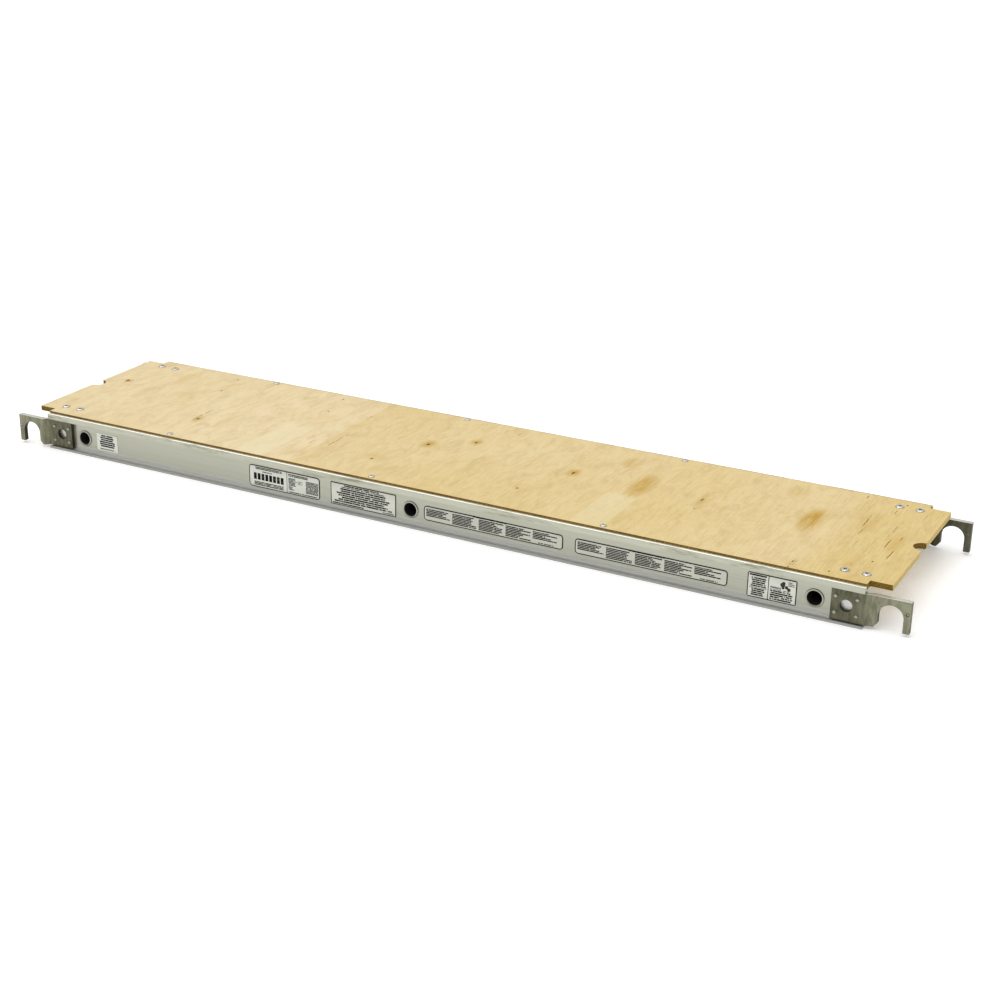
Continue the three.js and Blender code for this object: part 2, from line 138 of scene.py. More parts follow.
WINDOW_X = (low("hook_rivet_near_right_1").x + high("hook_rivet_near_right_4").x) / 2
WINDOW_Z = (low("hook_rivet_near_right_1").z + high("hook_rivet_near_right_4").z) / 2

BRACKET_THICKNESS = 3.5 * MM
BRACKET_ROUND = 2 * MM
JOGGLE_START = 205.2 * MM
JOGGLE_RUN = 4 * MM

HOLE_CLEARANCE = 0.3 * MM
SHANKS = {"hook": 3 * MM, "deck": 3.2 * MM, "edge": 2.4 * MM}


# ---- outlines

def arc(x, y, radius, start, end, steps):
    """Points on an arc about (x, y), from one angle in degrees to another."""
    angles = [math.radians(start + (end - start) * i / steps) for i in range(steps + 1)]
    return [(x + radius * math.cos(a), y + radius * math.sin(a)) for a in angles]


def circle_hole(x, y, radius, steps=32):
    """A clockwise circle, as a hole in an anticlockwise outline."""
    return arc(x, y, radius, 360, 0, steps)[:-1]


def soften(points, radius, steps=3):
    """Rounds the sharp corners of a closed outline. Corners that turn under 30 degrees stay."""
    result = []
    for i, point in enumerate(points):
        here = Vector(point)
        back, ahead = Vector(points[i - 1]) - here, Vector(points[(i + 1) % len(points)]) - here
        turn = math.pi - back.angle(ahead)
        if turn < math.radians(30):
            result.append(tuple(here))
            continue
        reach = min(radius * math.tan(turn / 2), 0.4 * back.length, 0.4 * ahead.length)
        start, end = here + back.normalized() * reach, here + ahead.normalized() * reach
        for k in range(steps + 1):
            t = k / steps
            result.append(tuple((1 - t) ** 2 * start + 2 * t * (1 - t) * here + t ** 2 * end))
    return result


def inset(points, distance):
    """Moves each side of a closed outline to its left by a distance, with mitred corners."""
    if distance == 0:
        return list(points)
    result = []
    for i, point in enumerate(points):
        here = Vector(point)
        before = (here - Vector(points[i - 1])).normalized()
        after = (Vector(points[(i + 1) % len(points)]) - here).normalized()
        left_before, left_after = Vector((-before.y, before.x)), Vector((-after.y, after.x))
        mitre = left_before + left_after
        result.append(tuple(here + mitre * (distance / (1 + left_before.dot(left_after)))))
    return result


def rounded_stations(bottom, top, radius, steps=3):
    """(height, inset) pairs from one face to the other, with quarter-round edges."""
    turns = [math.radians(90 * i / steps) for i in range(steps + 1)]
    edge = [(radius * (1 - math.cos(a)), radius * (1 - math.sin(a))) for a in turns]
    below = [(bottom + rise, shrink) for rise, shrink in edge]
    above = [(top - rise, shrink) for rise, shrink in reversed(edge)]
    return below + above


# ---- meshes

DRILL_DEPTH = 60 * MM
UP = (0, 0, 1)
ACROSS = (0, 1, 0)
SWAP_Y_AND_Z = Matrix(((1, 0, 0, 0), (0, 0, 1, 0), (0, 1, 0, 0), (0, 0, 0, 1)))


def along_x(side):
    """Turns (distance from the centreline, z, x) into the frame, on one side of the plank."""
    return Matrix(((0, 0, 1, 0), (side, 0, 0, 0), (0, 1, 0, 0), (0, 0, 0, 1)))


def aimed(place, axis):
    """Turns +Z to an axis, and then moves the origin to a place."""
    turn = Vector(UP).rotation_difference(Vector(axis)).to_matrix().to_4x4()
    return Matrix.Translation(place) @ turn


def link(name, data):
    """Puts a new object into the scene."""
    item = bpy.data.objects.new(name, data)
    bpy.context.scene.collection.objects.link(item)
    return item


def mesh_of(bm, name):
    """Turns a bmesh into a mesh, and frees it."""
    mesh = bpy.data.meshes.new(name)
    bm.to_mesh(mesh)
    bm.free()
    return mesh


def prism_mesh(loops, stations):
    """A closed bmesh: an outline with holes, swept upwards through (height, inset) stations."""
    bm = bmesh.new()
    rings = []
    for height, shrink in stations:
        shrunk = [inset(loop, shrink) for loop in loops]
        rings.append([[bm.verts.new((x, y, height)) for x, y in loop] for loop in shrunk])
    for lower, upper in zip(rings, rings[1:]):
        for ring, next_ring in zip(lower, upper):
            for i in range(len(ring)):
                bm.faces.new((ring[i - 1], ring[i], next_ring[i], next_ring[i - 1]))
    for cap in (rings[0], rings[-1]):
        flat = [v for ring in cap for v in ring]
        for triangle in tessellate_polygon([[v.co for v in ring] for ring in cap]):
            bm.faces.new([flat[i] for i in triangle])
    return bm


def finish_piece(bm, name, node, materials, smooth_angle=35):
    """Makes the piece that stands for a CAD node, shaded smooth across its rounded edges."""
    bmesh.ops.recalc_face_normals(bm, faces=bm.faces)
    mesh = mesh_of(bm, name)
    for material in materials:
        mesh.materials.append(material)
    mesh.shade_smooth()
    mesh.set_sharp_from_angle(angle=math.radians(smooth_angle))
    piece = link(name, mesh)
    piece.modifiers.new("even_shading", "WEIGHTED_NORMAL").keep_sharp = True
    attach(piece, "root")
    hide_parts(node)


def lathe_mesh(profile, place, axis, segments):
    """A closed bmesh turned from (radius, height) points, with the height measured along an axis.
    The profile either closes on itself or starts and ends on the axis."""
    bm = bmesh.new()
    rings = []
    for radius, height in profile:
        if radius == 0:
            rings.append([bm.verts.new((0, 0, height))] * segments)
            continue
        around = arc(0, 0, radius, 0, 360, segments)[:-1]
        rings.append([bm.verts.new((x, y, height)) for x, y in around])
    if profile[0][0] > 0:
        rings.append(rings[0])
    for lower, upper in zip(rings, rings[1:]):
        for i in range(segments):
            corners = (lower[i - 1], lower[i], upper[i], upper[i - 1])
            bm.faces.new(list(dict.fromkeys(corners)))
    bm.transform(aimed(place, axis))
    return bm


def subtract(bm_target, cutter):
    """Takes one closed bmesh away from another, and returns what is left."""
    bodies = []
    for bm in (bm_target, cutter):
        bmesh.ops.recalc_face_normals(bm, faces=bm.faces)
        bodies.append(link("scratch", mesh_of(bm, "scratch")))
    boolean = bodies[0].modifiers.new("cut", "BOOLEAN")
    boolean.operation, boolean.solver, boolean.object = "DIFFERENCE", "EXACT", bodies[1]
    graph = bpy.context.evaluated_depsgraph_get()
    result = bmesh.new()
    result.from_mesh(bodies[0].evaluated_get(graph).data)
    for body in bodies:
        mesh = body.data
        bpy.data.objects.remove(body)
        bpy.data.meshes.remove(mesh)
    return result


def drill(bm_target, holes):
    """Cuts round holes, each (point, axis, radius), right through a bmesh."""
    drills = bmesh.new()
    for point, axis, radius in holes:
        bmesh.ops.create_cone(
            drills, cap_ends=True, segments=40, radius1=radius, radius2=radius,
            depth=DRILL_DEPTH, matrix=aimed(point, axis),
        )
    return subtract(bm_target, drills)


# ---- material nodes

class Nodes:
    """A node tree, built by small calls that each return an output socket."""

    def __init__(self, tree):
        self.tree = tree

    def add(self, kind, inputs=None, **settings):
        node = self.tree.nodes.new(f"ShaderNode{kind}")
        for key, value in settings.items():
            setattr(node, key, value)
        for key, value in (inputs or {}).items():
            self.feed(node.inputs[key], value)
        return node

    def feed(self, socket, value):
        if isinstance(value, bpy.types.NodeSocket):
            self.tree.links.new(value, socket)
        elif socket.type == "RGBA":
            socket.default_value = (*value, 1)
        else:
            socket.default_value = value

    def math(self, operation, a, b=0.0, c=0.0, clamp=False):
        node = self.add("Math", {0: a, 1: b, 2: c}, operation=operation)
        node.use_clamp = clamp
        return node.outputs[0]

    def plus(self, a, b):
        return self.math("ADD", a, b)

    def minus(self, a, b):
        return self.math("SUBTRACT", a, b)

    def scaled(self, a, by, plus=0.0, clamp=False):
        return self.math("MULTIPLY_ADD", a, by, plus, clamp)

    def positive(self, a):
        return self.math("ABSOLUTE", a)

    def rest(self, a):
        return self.math("SUBTRACT", 1.0, a)

    def product(self, *values):
        total = values[0]
        for value in values[1:]:
            total = self.math("MULTIPLY", total, value)
        return total

    def most(self, values):
        """The largest of several values."""
        total = values[0]
        for value in values[1:]:
            total = self.math("MAXIMUM", total, value)
        return total

    def reach(self, a, b):
        """The distance of (a, b) from the origin."""
        return self.math("SQRT", self.plus(self.product(a, a), self.product(b, b)))

    def fade(self, value, start, end, kind="SMOOTHSTEP"):
        """From 0 to 1 as value goes from start to end, which may be the lower of the two."""
        inputs = {"Value": value, "From Min": start, "From Max": end}
        return self.add("MapRange", inputs, interpolation_type=kind).outputs["Result"]


class Surface(Nodes):
    """A material's nodes."""

    def __init__(self, name):
        self.material = bpy.data.materials.new(name)
        self.material.use_nodes = True
        super().__init__(self.material.node_tree)
        self.tree.nodes.clear()
        self.shader = self.add("BsdfPrincipled")
        self.feed(self.add("OutputMaterial").inputs[0], self.shader.outputs[0])
        self.place = self.add("TexCoord").outputs["Object"]
        self.x, self.y, self.z = self.add("SeparateXYZ", {0: self.place}).outputs

    def vector(self, operation, a, b=(0, 0, 0), c=(0, 0, 0)):
        return self.add("VectorMath", {0: a, 1: b, 2: c}, operation=operation).outputs

    def stretched(self, scale, offset=(0, 0, 0)):
        """Frame coordinates, shifted and then scaled along each axis."""
        moved = self.vector("SUBTRACT", self.place, offset)[0]
        return self.vector("MULTIPLY", moved, scale)[0]

    def noise(self, scale, detail=2.0, roughness=0.5, distortion=0.0, offset=(0, 0, 0)):
        """Smooth noise about 0.5, with features 1/scale long along each axis."""
        node = self.add("TexNoise", {
            "Vector": self.stretched(scale, offset), "Scale": 1.0, "Detail": detail,
            "Roughness": roughness, "Distortion": distortion,
        })
        return node.outputs["Fac"]

    def facing(self, axis):
        """The surface normal's part along an axis."""
        normal = self.add("NewGeometry").outputs["True Normal"]
        return self.add("SeparateXYZ", {0: normal}).outputs[axis]

    def mix(self, factor, a, b):
        """Colour a where factor is 0 and colour b where it is 1."""
        node = self.add("Mix", data_type="RGBA", blend_type="MIX")
        for name, value in (("Factor", factor), ("A", a), ("B", b)):
            self.feed(node.inputs[name], value)
        return node.outputs["Result"]

    def tint(self, color, tone, value, start, end, strength=1.0):
        """Brings in a tone, up to a strength, as value goes from start to end."""
        return self.mix(self.product(self.fade(value, start, end), strength), color, tone)

    def spot(self, middle, radii, bend=(0, 0, 0)):
        """1 in the middle of an ellipse in plan, 0 at its edge and beyond. bend may push it aside.
        The bend goes in first, so that a bake of many bent spots fits in the shader's memory."""
        start = (-middle[0] / radii[0], -middle[1] / radii[1], 0)
        scale = (1 / radii[0], 1 / radii[1], 0)
        away = self.vector("MULTIPLY_ADD", self.place, scale, self.vector("ADD", bend, start)[0])[0]
        return self.math("SUBTRACT", 1.0, self.vector("LENGTH", away)["Value"], clamp=True)

    def from_side(self, x, z):
        """The distance from (x, z), or from (-x, z), seen from the side."""
        return self.reach(self.minus(self.positive(self.x), x), self.minus(self.z, z))

    def bump(self, height, distance, strength=0.5):
        inputs = {"Height": height, "Distance": distance, "Strength": strength}
        return self.add("Bump", inputs).outputs[0]

    def finish(self, color, roughness, metallic=0.0, normal=None, **others):
        inputs = {"Base Color": color, "Roughness": roughness, "Metallic": metallic, **others}
        if normal:
            inputs["Normal"] = normal
        for name, value in inputs.items():
            self.feed(self.shader.inputs[name.replace("_", " ")], value)
        return self.material


# ---- plywood

BIRCH_PALE = (0.80, 0.66, 0.41)
BIRCH_WARM = (0.70, 0.53, 0.215)
BIRCH_STREAK = (0.50, 0.34, 0.11)
BIRCH_STAIN = (0.50, 0.29, 0.020)
KNOT_CORE = (0.15, 0.075, 0.005)
CRACK = (0.20, 0.095, 0.010)
EDGE_LIGHT = (0.37, 0.21, 0.022)
EDGE_DARK = (0.078, 0.042, 0.003)
EDGE_SAWN = (0.68, 0.56, 0.235)

PATCH_PALE = (0.78, 0.69, 0.435)
DECK_SHADE = (0.10, 0.07, 0.03)  # painted shade round the rivet heads and along the far rail's lip
RIVET_SHADE_REACH = 1.4 * MM
FAR_SHADE_REACH = 5 * MM  # how far painted shade reaches from the far rail's lip

SHEET_JOINT = -318 * MM  # two face veneers meet here
WORN_END = (830 * MM, 970 * MM)  # the veneer is drier and warmer towards the right end

# (x, y, half width, half length) in millimetres, with the length along the grain.
KNOTS = [(-99, 23, 26, 36), (272, 25, 22, 34), (-9, 90, 20, 30), (-668, -100, 14, 30),
         (-1000, 50, 15, 20), (-163, -123, 8, 8), (206, -121, 8, 8)]
KNOT_EYES = [(-99, 20, 5, 8), (272, 20, 4, 7), (-9, 86, 5, 5), (-668, -100, 5, 8), (-1005, 52, 7, 10),
             (-163, -123, 4, 6), (206, -121, 4, 6), (580, 16, 3.5, 12), (584, -38, 2, 5)]
# The same, with a strength.
STAINS = [(437, 30, 34, 100, 1.1), (820, 24, 36, 96, 1.25), (580, 25, 14, 66, 0.6),
          (743, 165, 40, 56, 0.3), (360, 150, 34, 50, 0.6), (-880, 145, 28, 66, 0.35),
          (820, 34, 18, 60, 1.4), (-165, -112, 52, 34, 0.3), (205, -105, 40, 30, 0.3),
          (-668, -90, 20, 60, 0.2), (925, 70, 34, 90, 0.4), (1005, -10, 26, 80, 0.45),
          (958, -150, 20, 60, 0.35)]
PALE_PATCHES = [(-427, -126, 38, 106, 0.55), (420, -140, 36, 94, 0.38)]
CRACKS = [(-677, -75, 1.2, 62), (-361, -73, 0.8, 22), (-343, -97, 0.8, 18), (-316, 115, 0.8, 20),
          (-296, -66, 1.0, 66), (17, 190, 0.8, 18), (53, 186, 0.8, 16), (857, -212, 2.2, 26),
          (883, 210, 1.0, 12), (920, 76, 1.1, 44), (927, 20, 0.7, 30), (960, 153, 0.9, 18),
          (960, -160, 1.0, 16), (993, -20, 1.1, 32), (985, 60, 0.7, 26), (1010, 17, 0.9, 14),
          (1013, -70, 1.1, 34), (940, -60, 0.7, 24), (862, -203, 1.4, 16)]
SPECKS = [(-765, 197), (-748, 103), (-445, 198), (-427, 103), (993, -123), (933, -210), (970, 203)]


def plan_spots(s, places, bend=(0, 0, 0)):
    """The strongest of several elliptical spots, given in millimetres."""
    return s.most([s.spot((x * MM, y * MM), (w * MM, l * MM), bend) for x, y, w, l in places])


def plan_patch(s, x, y, half_width, half_length, strength):
    """A rectangle in plan with soft ends, given in millimetres."""
    across = s.positive(s.minus(s.x, x * MM))
    ragged = s.scaled(s.noise((90, 5, 1), 2), 40 * MM, -20 * MM)
    along = s.plus(s.positive(s.minus(s.y, y * MM)), ragged)
    return s.product(s.fade(across, (half_width + 2) * MM, (half_width - 2) * MM),
                     s.fade(along, (half_length + 10) * MM, (half_length - 10) * MM), strength)


def birch_face(s, on_top):
    """Rotary-cut birch: grain across the plank, drifting colour, knots, stains and fine cracks. The
    knots, stains and cracks of the top face stay off the underside. Returns the colour, the height
    and where the surface is open and does not shine."""
    drift = s.noise((3.0, 1.6, 1), 3, 0.6)
    sheet = s.fade(s.x, SHEET_JOINT - 0.5 * MM, SHEET_JOINT + 0.5 * MM)
    worn_end = s.fade(s.x, *WORN_END)
    warmth = s.scaled(sheet, 0.50, s.scaled(drift, 1.0, -0.35))
    warmth = s.scaled(worn_end, 0.35, warmth, clamp=True)
    color = s.mix(warmth, BIRCH_PALE, BIRCH_WARM)

    mottle = s.noise((34, 15, 1), 6, 0.75, 0.8)
    color = s.tint(color, BIRCH_STREAK, mottle, 0.40, 0.74, 0.44)
    color = s.tint(color, BIRCH_STREAK, s.noise((9, 4.5, 1), 3, 0.6, 2.2), 0.50, 0.78, 0.28)
    grain = s.noise((380, 9, 1), 4, 0.7)
    strength = s.scaled(worn_end, 0.12, 0.44)
    color = s.tint(color, BIRCH_STREAK, grain, 0.46, 0.74, strength)
    glints = s.noise((210, 24, 1), 3, 0.7, offset=(5, 0, 0))
    color = s.tint(color, BIRCH_PALE, glints, 0.50, 0.75, 0.5)

    patches = s.most([plan_patch(s, *patch) for patch in PALE_PATCHES])
    color = s.mix(s.product(patches, on_top), color, PATCH_PALE)

    streaky = s.fade(s.noise((75, 7, 1), 4, 0.65, 0.5), 0.30, 0.62)
    stains = s.most([
        s.product(s.fade(plan_spots(s, [place]), 0.0, 0.8), strength) for *place, strength in STAINS
    ])
    streaky = s.scaled(streaky, 0.60, 0.25)
    color = s.mix(s.product(stains, streaky, on_top), color, BIRCH_STAIN)
    halo = s.product(plan_spots(s, KNOTS), on_top)
    swirl = s.fade(s.noise((90, 22, 1), 3, distortion=1.2), 0.15, 0.60)
    color = s.mix(s.product(s.fade(halo, 0.0, 0.85), swirl, 0.85), color, BIRCH_STAIN)
    color = s.tint(color, KNOT_CORE, halo, 0.80, 0.90, 0.85)
    eyes = s.product(plan_spots(s, KNOT_EYES), on_top)
    color = s.tint(color, KNOT_CORE, eyes, 0.1, 0.6, 0.8)

    broken = s.fade(s.noise((60, 55, 1), 2), 0.40, 0.50)
    sideways = s.scaled(s.noise((20, 30, 1), 2), 5.0, -2.5)
    bend = s.add("CombineXYZ", {0: sideways}).outputs[0]
    cracks = s.product(s.fade(plan_spots(s, CRACKS, bend), 0.0, 0.35), broken)
    specks = s.fade(plan_spots(s, [(x, y, 3.0, 4.0) for x, y in SPECKS]), 0.1, 0.5)
    pores = s.fade(s.noise((480, 60, 1), 1, offset=(0, 7, 0)), 0.715, 0.76)
    checks = s.fade(s.noise((260, 14, 1), 2, offset=(0, 3, 0)), 0.66, 0.72)
    fine = [s.product(pores, 0.3), s.product(checks, worn_end, 0.3)]
    dark = s.product(s.most([*fine, cracks, specks]), on_top)
    color = s.mix(dark, color, CRACK)
    # Painted shade in a ring round each rivet head.
    heads = [(centre(node), high(node).x - centre(node).x + RIVET_SHADE_REACH)
             for kind in ("deck", "edge") for node in rivet_nodes(kind)]
    rings = s.most([s.spot((place.x, place.y), (reach, reach)) for place, reach in heads])
    color = s.mix(s.product(s.fade(rings, 0.0, 0.16), on_top, 0.75), color, DECK_SHADE)
    # Patchy painted shade along the seam between the deck and the far rail's lip.
    far_seam = s.fade(s.y, DECK_HALF_WIDTH - FAR_SHADE_REACH, DECK_HALF_WIDTH - 1 * MM)
    patchy = s.fade(s.noise((14, 1, 1), 4, 0.7), 0.30, 0.62)
    color = s.mix(s.product(far_seam, patchy, on_top, 0.8), color, DECK_SHADE)
    grain_height = s.minus(s.product(grain, 0.35), dark)
    return color, grain_height, s.most([dark, s.fade(eyes, 0.1, 0.6)])


def ply_edge(s):
    """End grain and long grain of the plies in turn, rough and darker than the face, with painted
    shade deep in the notches.
    """
    ply = s.math("DIVIDE", s.minus(s.z, DECK_BOTTOM), PLY_PITCH)
    wavy = s.plus(ply, s.product(s.noise((14, 14, 1), 3), 0.5))
    stripe = s.fade(s.math("PINGPONG", wavy, 1.0), 0.30, 0.70)
    fibres = s.noise((700, 700, 260), 3, 0.7)
    blotch = s.noise((9, 9, 9), 3)
    stripe = s.math("ADD", stripe, s.scaled(fibres, 0.9, -0.45), clamp=True)
    color = s.mix(stripe, EDGE_DARK, EDGE_LIGHT)
    color = s.tint(color, EDGE_DARK, blotch, 0.4, 0.7, 0.5)
    out, notch_back = s.positive(s.x), DECK_END - NOTCH_DEPTH
    at_end = s.fade(out, DECK_END - 2 * MM, DECK_END - 1 * MM)
    sawn_end = s.product(s.fade(s.positive(s.facing(0)), 0.5, 0.7), at_end)
    striped_end = s.mix(s.product(stripe, 0.55), EDGE_SAWN, EDGE_LIGHT)
    # Painted shade on the walls at the back of the notches.
    notch_shade = s.product(s.fade(s.positive(s.y), NOTCH_HALF_MOUTH + 1 * MM, NOTCH_HALF_MOUTH),
                         s.fade(out, notch_back - 2.7 * MM, notch_back - 0.7 * MM))
    color = s.mix(s.product(notch_shade, 0.55), color, EDGE_DARK)
    return s.mix(sawn_end, color, striped_end), fibres


def plywood():
    s = Surface("birch_plywood")
    face, face_height, gaps = birch_face(s, s.fade(s.z, DECK_BOTTOM, DECK_TOP))
    edge, edge_height = ply_edge(s)
    is_face = s.fade(s.positive(s.facing(2)), 0.6, 0.8)
    color = s.mix(is_face, edge, face)
    is_edge = s.rest(is_face)
    height = s.plus(s.product(is_face, face_height), s.product(is_edge, edge_height, 2.0))
    roughness = s.scaled(is_edge, 0.25, s.scaled(s.noise((30, 8, 5), 2), 0.16, 0.42))
    shine = s.product(s.scaled(is_face, 0.25, 0.10), s.rest(gaps))
    normal = s.bump(height, 0.15 * MM, 0.6)
    return s.finish(color, roughness, normal=normal, Specular_IOR_Level=shine)


# ---- metals

RAIL_TONE = (0.50, 0.50, 0.41)
RAIL_DARK = (0.425, 0.43, 0.35)
RAIL_SMUDGE_AND_SHADE = (0.22, 0.205, 0.13)
RAIL_FOOT_SHADE = (0.44, 0.44, 0.43)
RAIL_LOW_WEB = (0.60, 0.60, 0.56)
RAIL_WINDOW_LIGHT = (0.62, 0.62, 0.59)  # painted light on the web behind the windows of the hook plates
RAIL_LIP_HIGHLIGHT = (0.76, 0.75, 0.65)
WEB_SHADE_SPAN = (72 * MM, 42 * MM)  # heights between which painted shade darkens the web
GLEAM_TOP = (21 * MM, 12 * MM)  # heights between which a gleam low on the web comes in
GLEAM_FOOT = (7 * MM, 10 * MM)  # and between which it is gone again
FOOT_SPAN = (11 * MM, 5 * MM)  # heights between which the bottom flange's painted shade takes over
HOOK_TONE = (0.29, 0.285, 0.198)
HOOK_DULL = (0.19, 0.186, 0.122)
HOOK_FLECK = (0.07, 0.068, 0.040)
# painted highlight on the hooks' top faces and pin ends
HOOK_HIGHLIGHT = (0.76, 0.76, 0.70)
HOOK_SHADOW = (0.03, 0.03, 0.018)
PLATE_BLEND = (JOG_START + 30 * MM, JOG_START - 24 * MM)  # the plate's tone takes over here
PLATE_TONE = (0.155, 0.152, 0.100)
PLATE_DULL = (0.085, 0.083, 0.051)
INNER_SHADE = 0.6  # how much painted shade darkens a hook on the side that faces its fellow
SAWN_SHADE = 0.75  # and how much painted shade darkens its cut faces
ARCH_SHADE = 0.2  # and how much more of that under the arch
TUBE_TONE = (0.41, 0.42, 0.355)
TUBE_SHADE = (0.10, 0.10, 0.075)
BORE_SHADE = (0.010, 0.010, 0.009)
BORE_DIRT = (0.03, 0.03, 0.026)
BRACKET_TONE = (0.46, 0.46, 0.39)
ZINC_TONE = (0.80, 0.79, 0.75)
ZINC_DULL = (0.36, 0.355, 0.33)
HOOK_RIVET_TONE = (0.17, 0.17, 0.13)
HOOK_RIVET_HIGHLIGHT = (0.34, 0.34, 0.29)
DIMPLE_SHADE = (0.035, 0.035, 0.035)
DIMPLE_GRIT = (0.09, 0.09, 0.09)


def rail_metal(side):
    """Mill-finish extrusion: lines drawn along the rail, dull patches, smudges on the top flange;
    painted shade under the top flange, down the web and on the bottom flange, a painted gleam low on
    the web, a painted highlight on the lip and painted light behind the hook plates' windows.
    """
    s = Surface(f"rail_aluminium_{side}")
    lines = s.noise((1.5, 900, 900), 4, 0.7)
    broad = s.noise((2.5, 90, 90), 3, 0.6)
    clouds = s.noise((6, 20, 30), 4, 0.6)
    # Painted shade: the web is darker below the drip edge and darker still towards its foot.
    web = s.fade(s.z, DRIP_EDGE + 1 * MM, DRIP_EDGE - 1 * MM)
    low_web = s.fade(s.z, *WEB_SHADE_SPAN, kind="LINEAR")
    web_shade = s.scaled(low_web, 0.65, s.product(web, 0.30))
    color = s.mix(web_shade, RAIL_TONE, RAIL_DARK)
    color = s.tint(color, RAIL_DARK, clouds, 0.42, 0.75, 0.35)
    color = s.tint(color, RAIL_DARK, broad, 0.46, 0.72, 0.45)
    color = s.tint(color, RAIL_SMUDGE_AND_SHADE, s.noise((1.1, 260, 260), 3, 0.6), 0.56, 0.72, 0.16)
    color = s.tint(color, RAIL_SMUDGE_AND_SHADE, lines, 0.50, 0.80, 0.28)
    color = s.tint(color, RAIL_LOW_WEB, s.z, *GLEAM_TOP, s.product(s.fade(s.z, *GLEAM_FOOT), 0.8))
    # Painted light on the web behind the hook plates' windows.
    window = s.from_side(WINDOW_X, WINDOW_Z)
    color = s.tint(color, RAIL_WINDOW_LIGHT, window, WINDOW_RADIUS + 2 * MM, WINDOW_RADIUS)
    # Painted shade on the bottom flange.
    foot = s.fade(s.z, *FOOT_SPAN)
    color = s.mix(s.product(foot, 0.85), color, RAIL_FOOT_SHADE)
    # Painted highlight along the top of the lip.
    color = s.tint(color, RAIL_LIP_HIGHLIGHT, s.z, RAIL_TOP - 2.5 * MM, RAIL_TOP - 0.5 * MM)
    # dirt holds real smudges on the top flange and a patchy band of painted shade under the drip
    # edge.
    on_flange = s.fade(s.z, DRIP_EDGE - 2 * MM, DRIP_EDGE + 1 * MM)
    smudges = s.fade(s.noise((9, 60, 70), 5, 0.7), 0.50, 0.72)
    drip_shade = s.product(s.fade(s.z, DRIP_EDGE - 10 * MM, DRIP_EDGE), s.rest(on_flange))
    dirt = s.product(smudges, s.plus(s.product(on_flange, 0.65), drip_shade))
    color = s.mix(dirt, color, RAIL_SMUDGE_AND_SHADE)
    roughness = s.scaled(dirt, 0.25, s.scaled(lines, 0.22, 0.30))
    roughness = s.scaled(foot, 0.25, roughness)
    return s.finish(color, roughness, 0.88, s.bump(s.scaled(broad, 1.5, lines), 0.03 * MM))


def hook_metal():
    """Darker mill-finish extrusion: mottled lines that run up the hook, with painted shade on its
    inner side and cut faces, and painted highlights on top and on the pin ends.
    """
    s = Surface("hook_aluminium")
    lines = s.noise((620, 620, 5), 4, 0.7)
    mottle = s.noise((120, 120, 28), 5, 0.65)
    bands = s.noise((45, 45, 3), 3)
    out, facing_y = s.positive(s.x), s.facing(1)
    plate = s.fade(out, *PLATE_BLEND)
    tone = s.mix(plate, HOOK_TONE, PLATE_TONE)
    dull = s.mix(plate, HOOK_DULL, PLATE_DULL)
    color = s.tint(tone, dull, mottle, 0.38, 0.66)
    color = s.tint(color, HOOK_FLECK, s.noise((420, 420, 260), 3, 0.7), 0.52, 0.70, 0.40)
    color = s.tint(color, dull, lines, 0.42, 0.72, 0.45)
    color = s.tint(color, tone, bands, 0.5, 0.75, 0.35)
    # Painted shade on the side facing the other hook, on the cut faces and more under the arch.
    inwards = s.fade(s.product(facing_y, s.math("SIGN", s.y)), -0.3, -0.8)
    sawn = s.fade(s.positive(facing_y), 0.6, 0.3)
    from_arch = s.positive(s.minus(out, ARCH_X))
    under = s.fade(from_arch, ARCH_RADIUS + 0.4 * MM, ARCH_RADIUS + 0.1 * MM)
    cut_shade = s.scaled(under, ARCH_SHADE, SAWN_SHADE)
    shade = s.plus(s.product(inwards, INNER_SHADE), s.product(sawn, cut_shade))
    color = s.mix(shade, color, HOOK_SHADOW)
    # Painted highlight along the top faces.
    color = s.tint(color, HOOK_HIGHLIGHT, s.z, HOOK_TOP - 0.6 * MM, HOOK_TOP - 0.1 * MM, 0.9)
    # Painted glint on the pin ends, stronger on the left hooks.
    pin, pin_glint = s.from_side(PIN_X, PIN_Z), s.scaled(s.math("LESS_THAN", s.x, 0.0), 0.75, 0.15)
    color = s.tint(color, HOOK_HIGHLIGHT, pin, PIN_RADIUS, PIN_RADIUS - PIN_WORN, pin_glint)
    roughness = s.scaled(mottle, 0.30, 0.32)
    return s.finish(color, roughness, 0.88, s.bump(s.scaled(mottle, 1.2, lines), 0.04 * MM, 0.6))


def tube_metal(place):
    """Drawn tube with lines along it and painted shade round the swaged collars and low on them."""
    s = Surface(f"tube_aluminium_{place}")
    lines = s.noise((500, 6, 500), 3, 0.65)
    clouds = s.noise((25, 25, 25), 3)
    color = s.tint(TUBE_TONE, RAIL_DARK, lines, 0.45, 0.8, 0.5)
    color = s.tint(color, RAIL_DARK, clouds, 0.5, 0.75, 0.3)
    rise = s.minus(s.z, TUBE_Z)
    reach = s.reach(s.minus(s.x, centre(f"cross_tube_{place}").x), rise)
    # Painted shade at the mouth of the bore, round the collar's rim and low on the collar.
    mouth = s.fade(reach, TUBE_BORE + 1.1 * MM, TUBE_BORE + 0.3 * MM)
    rim = s.fade(reach, COLLAR_RADIUS - 0.9 * MM, COLLAR_RADIUS - 0.2 * MM)
    color = s.mix(s.product(s.most([mouth, rim]), 0.8), color, TUBE_SHADE)
    color = s.tint(color, TUBE_SHADE, rise, -TUBE_BORE / 2, -COLLAR_RADIUS, 0.55)
    return s.finish(color, s.scaled(lines, 0.2, 0.26), 0.9, s.bump(lines, 0.02 * MM))


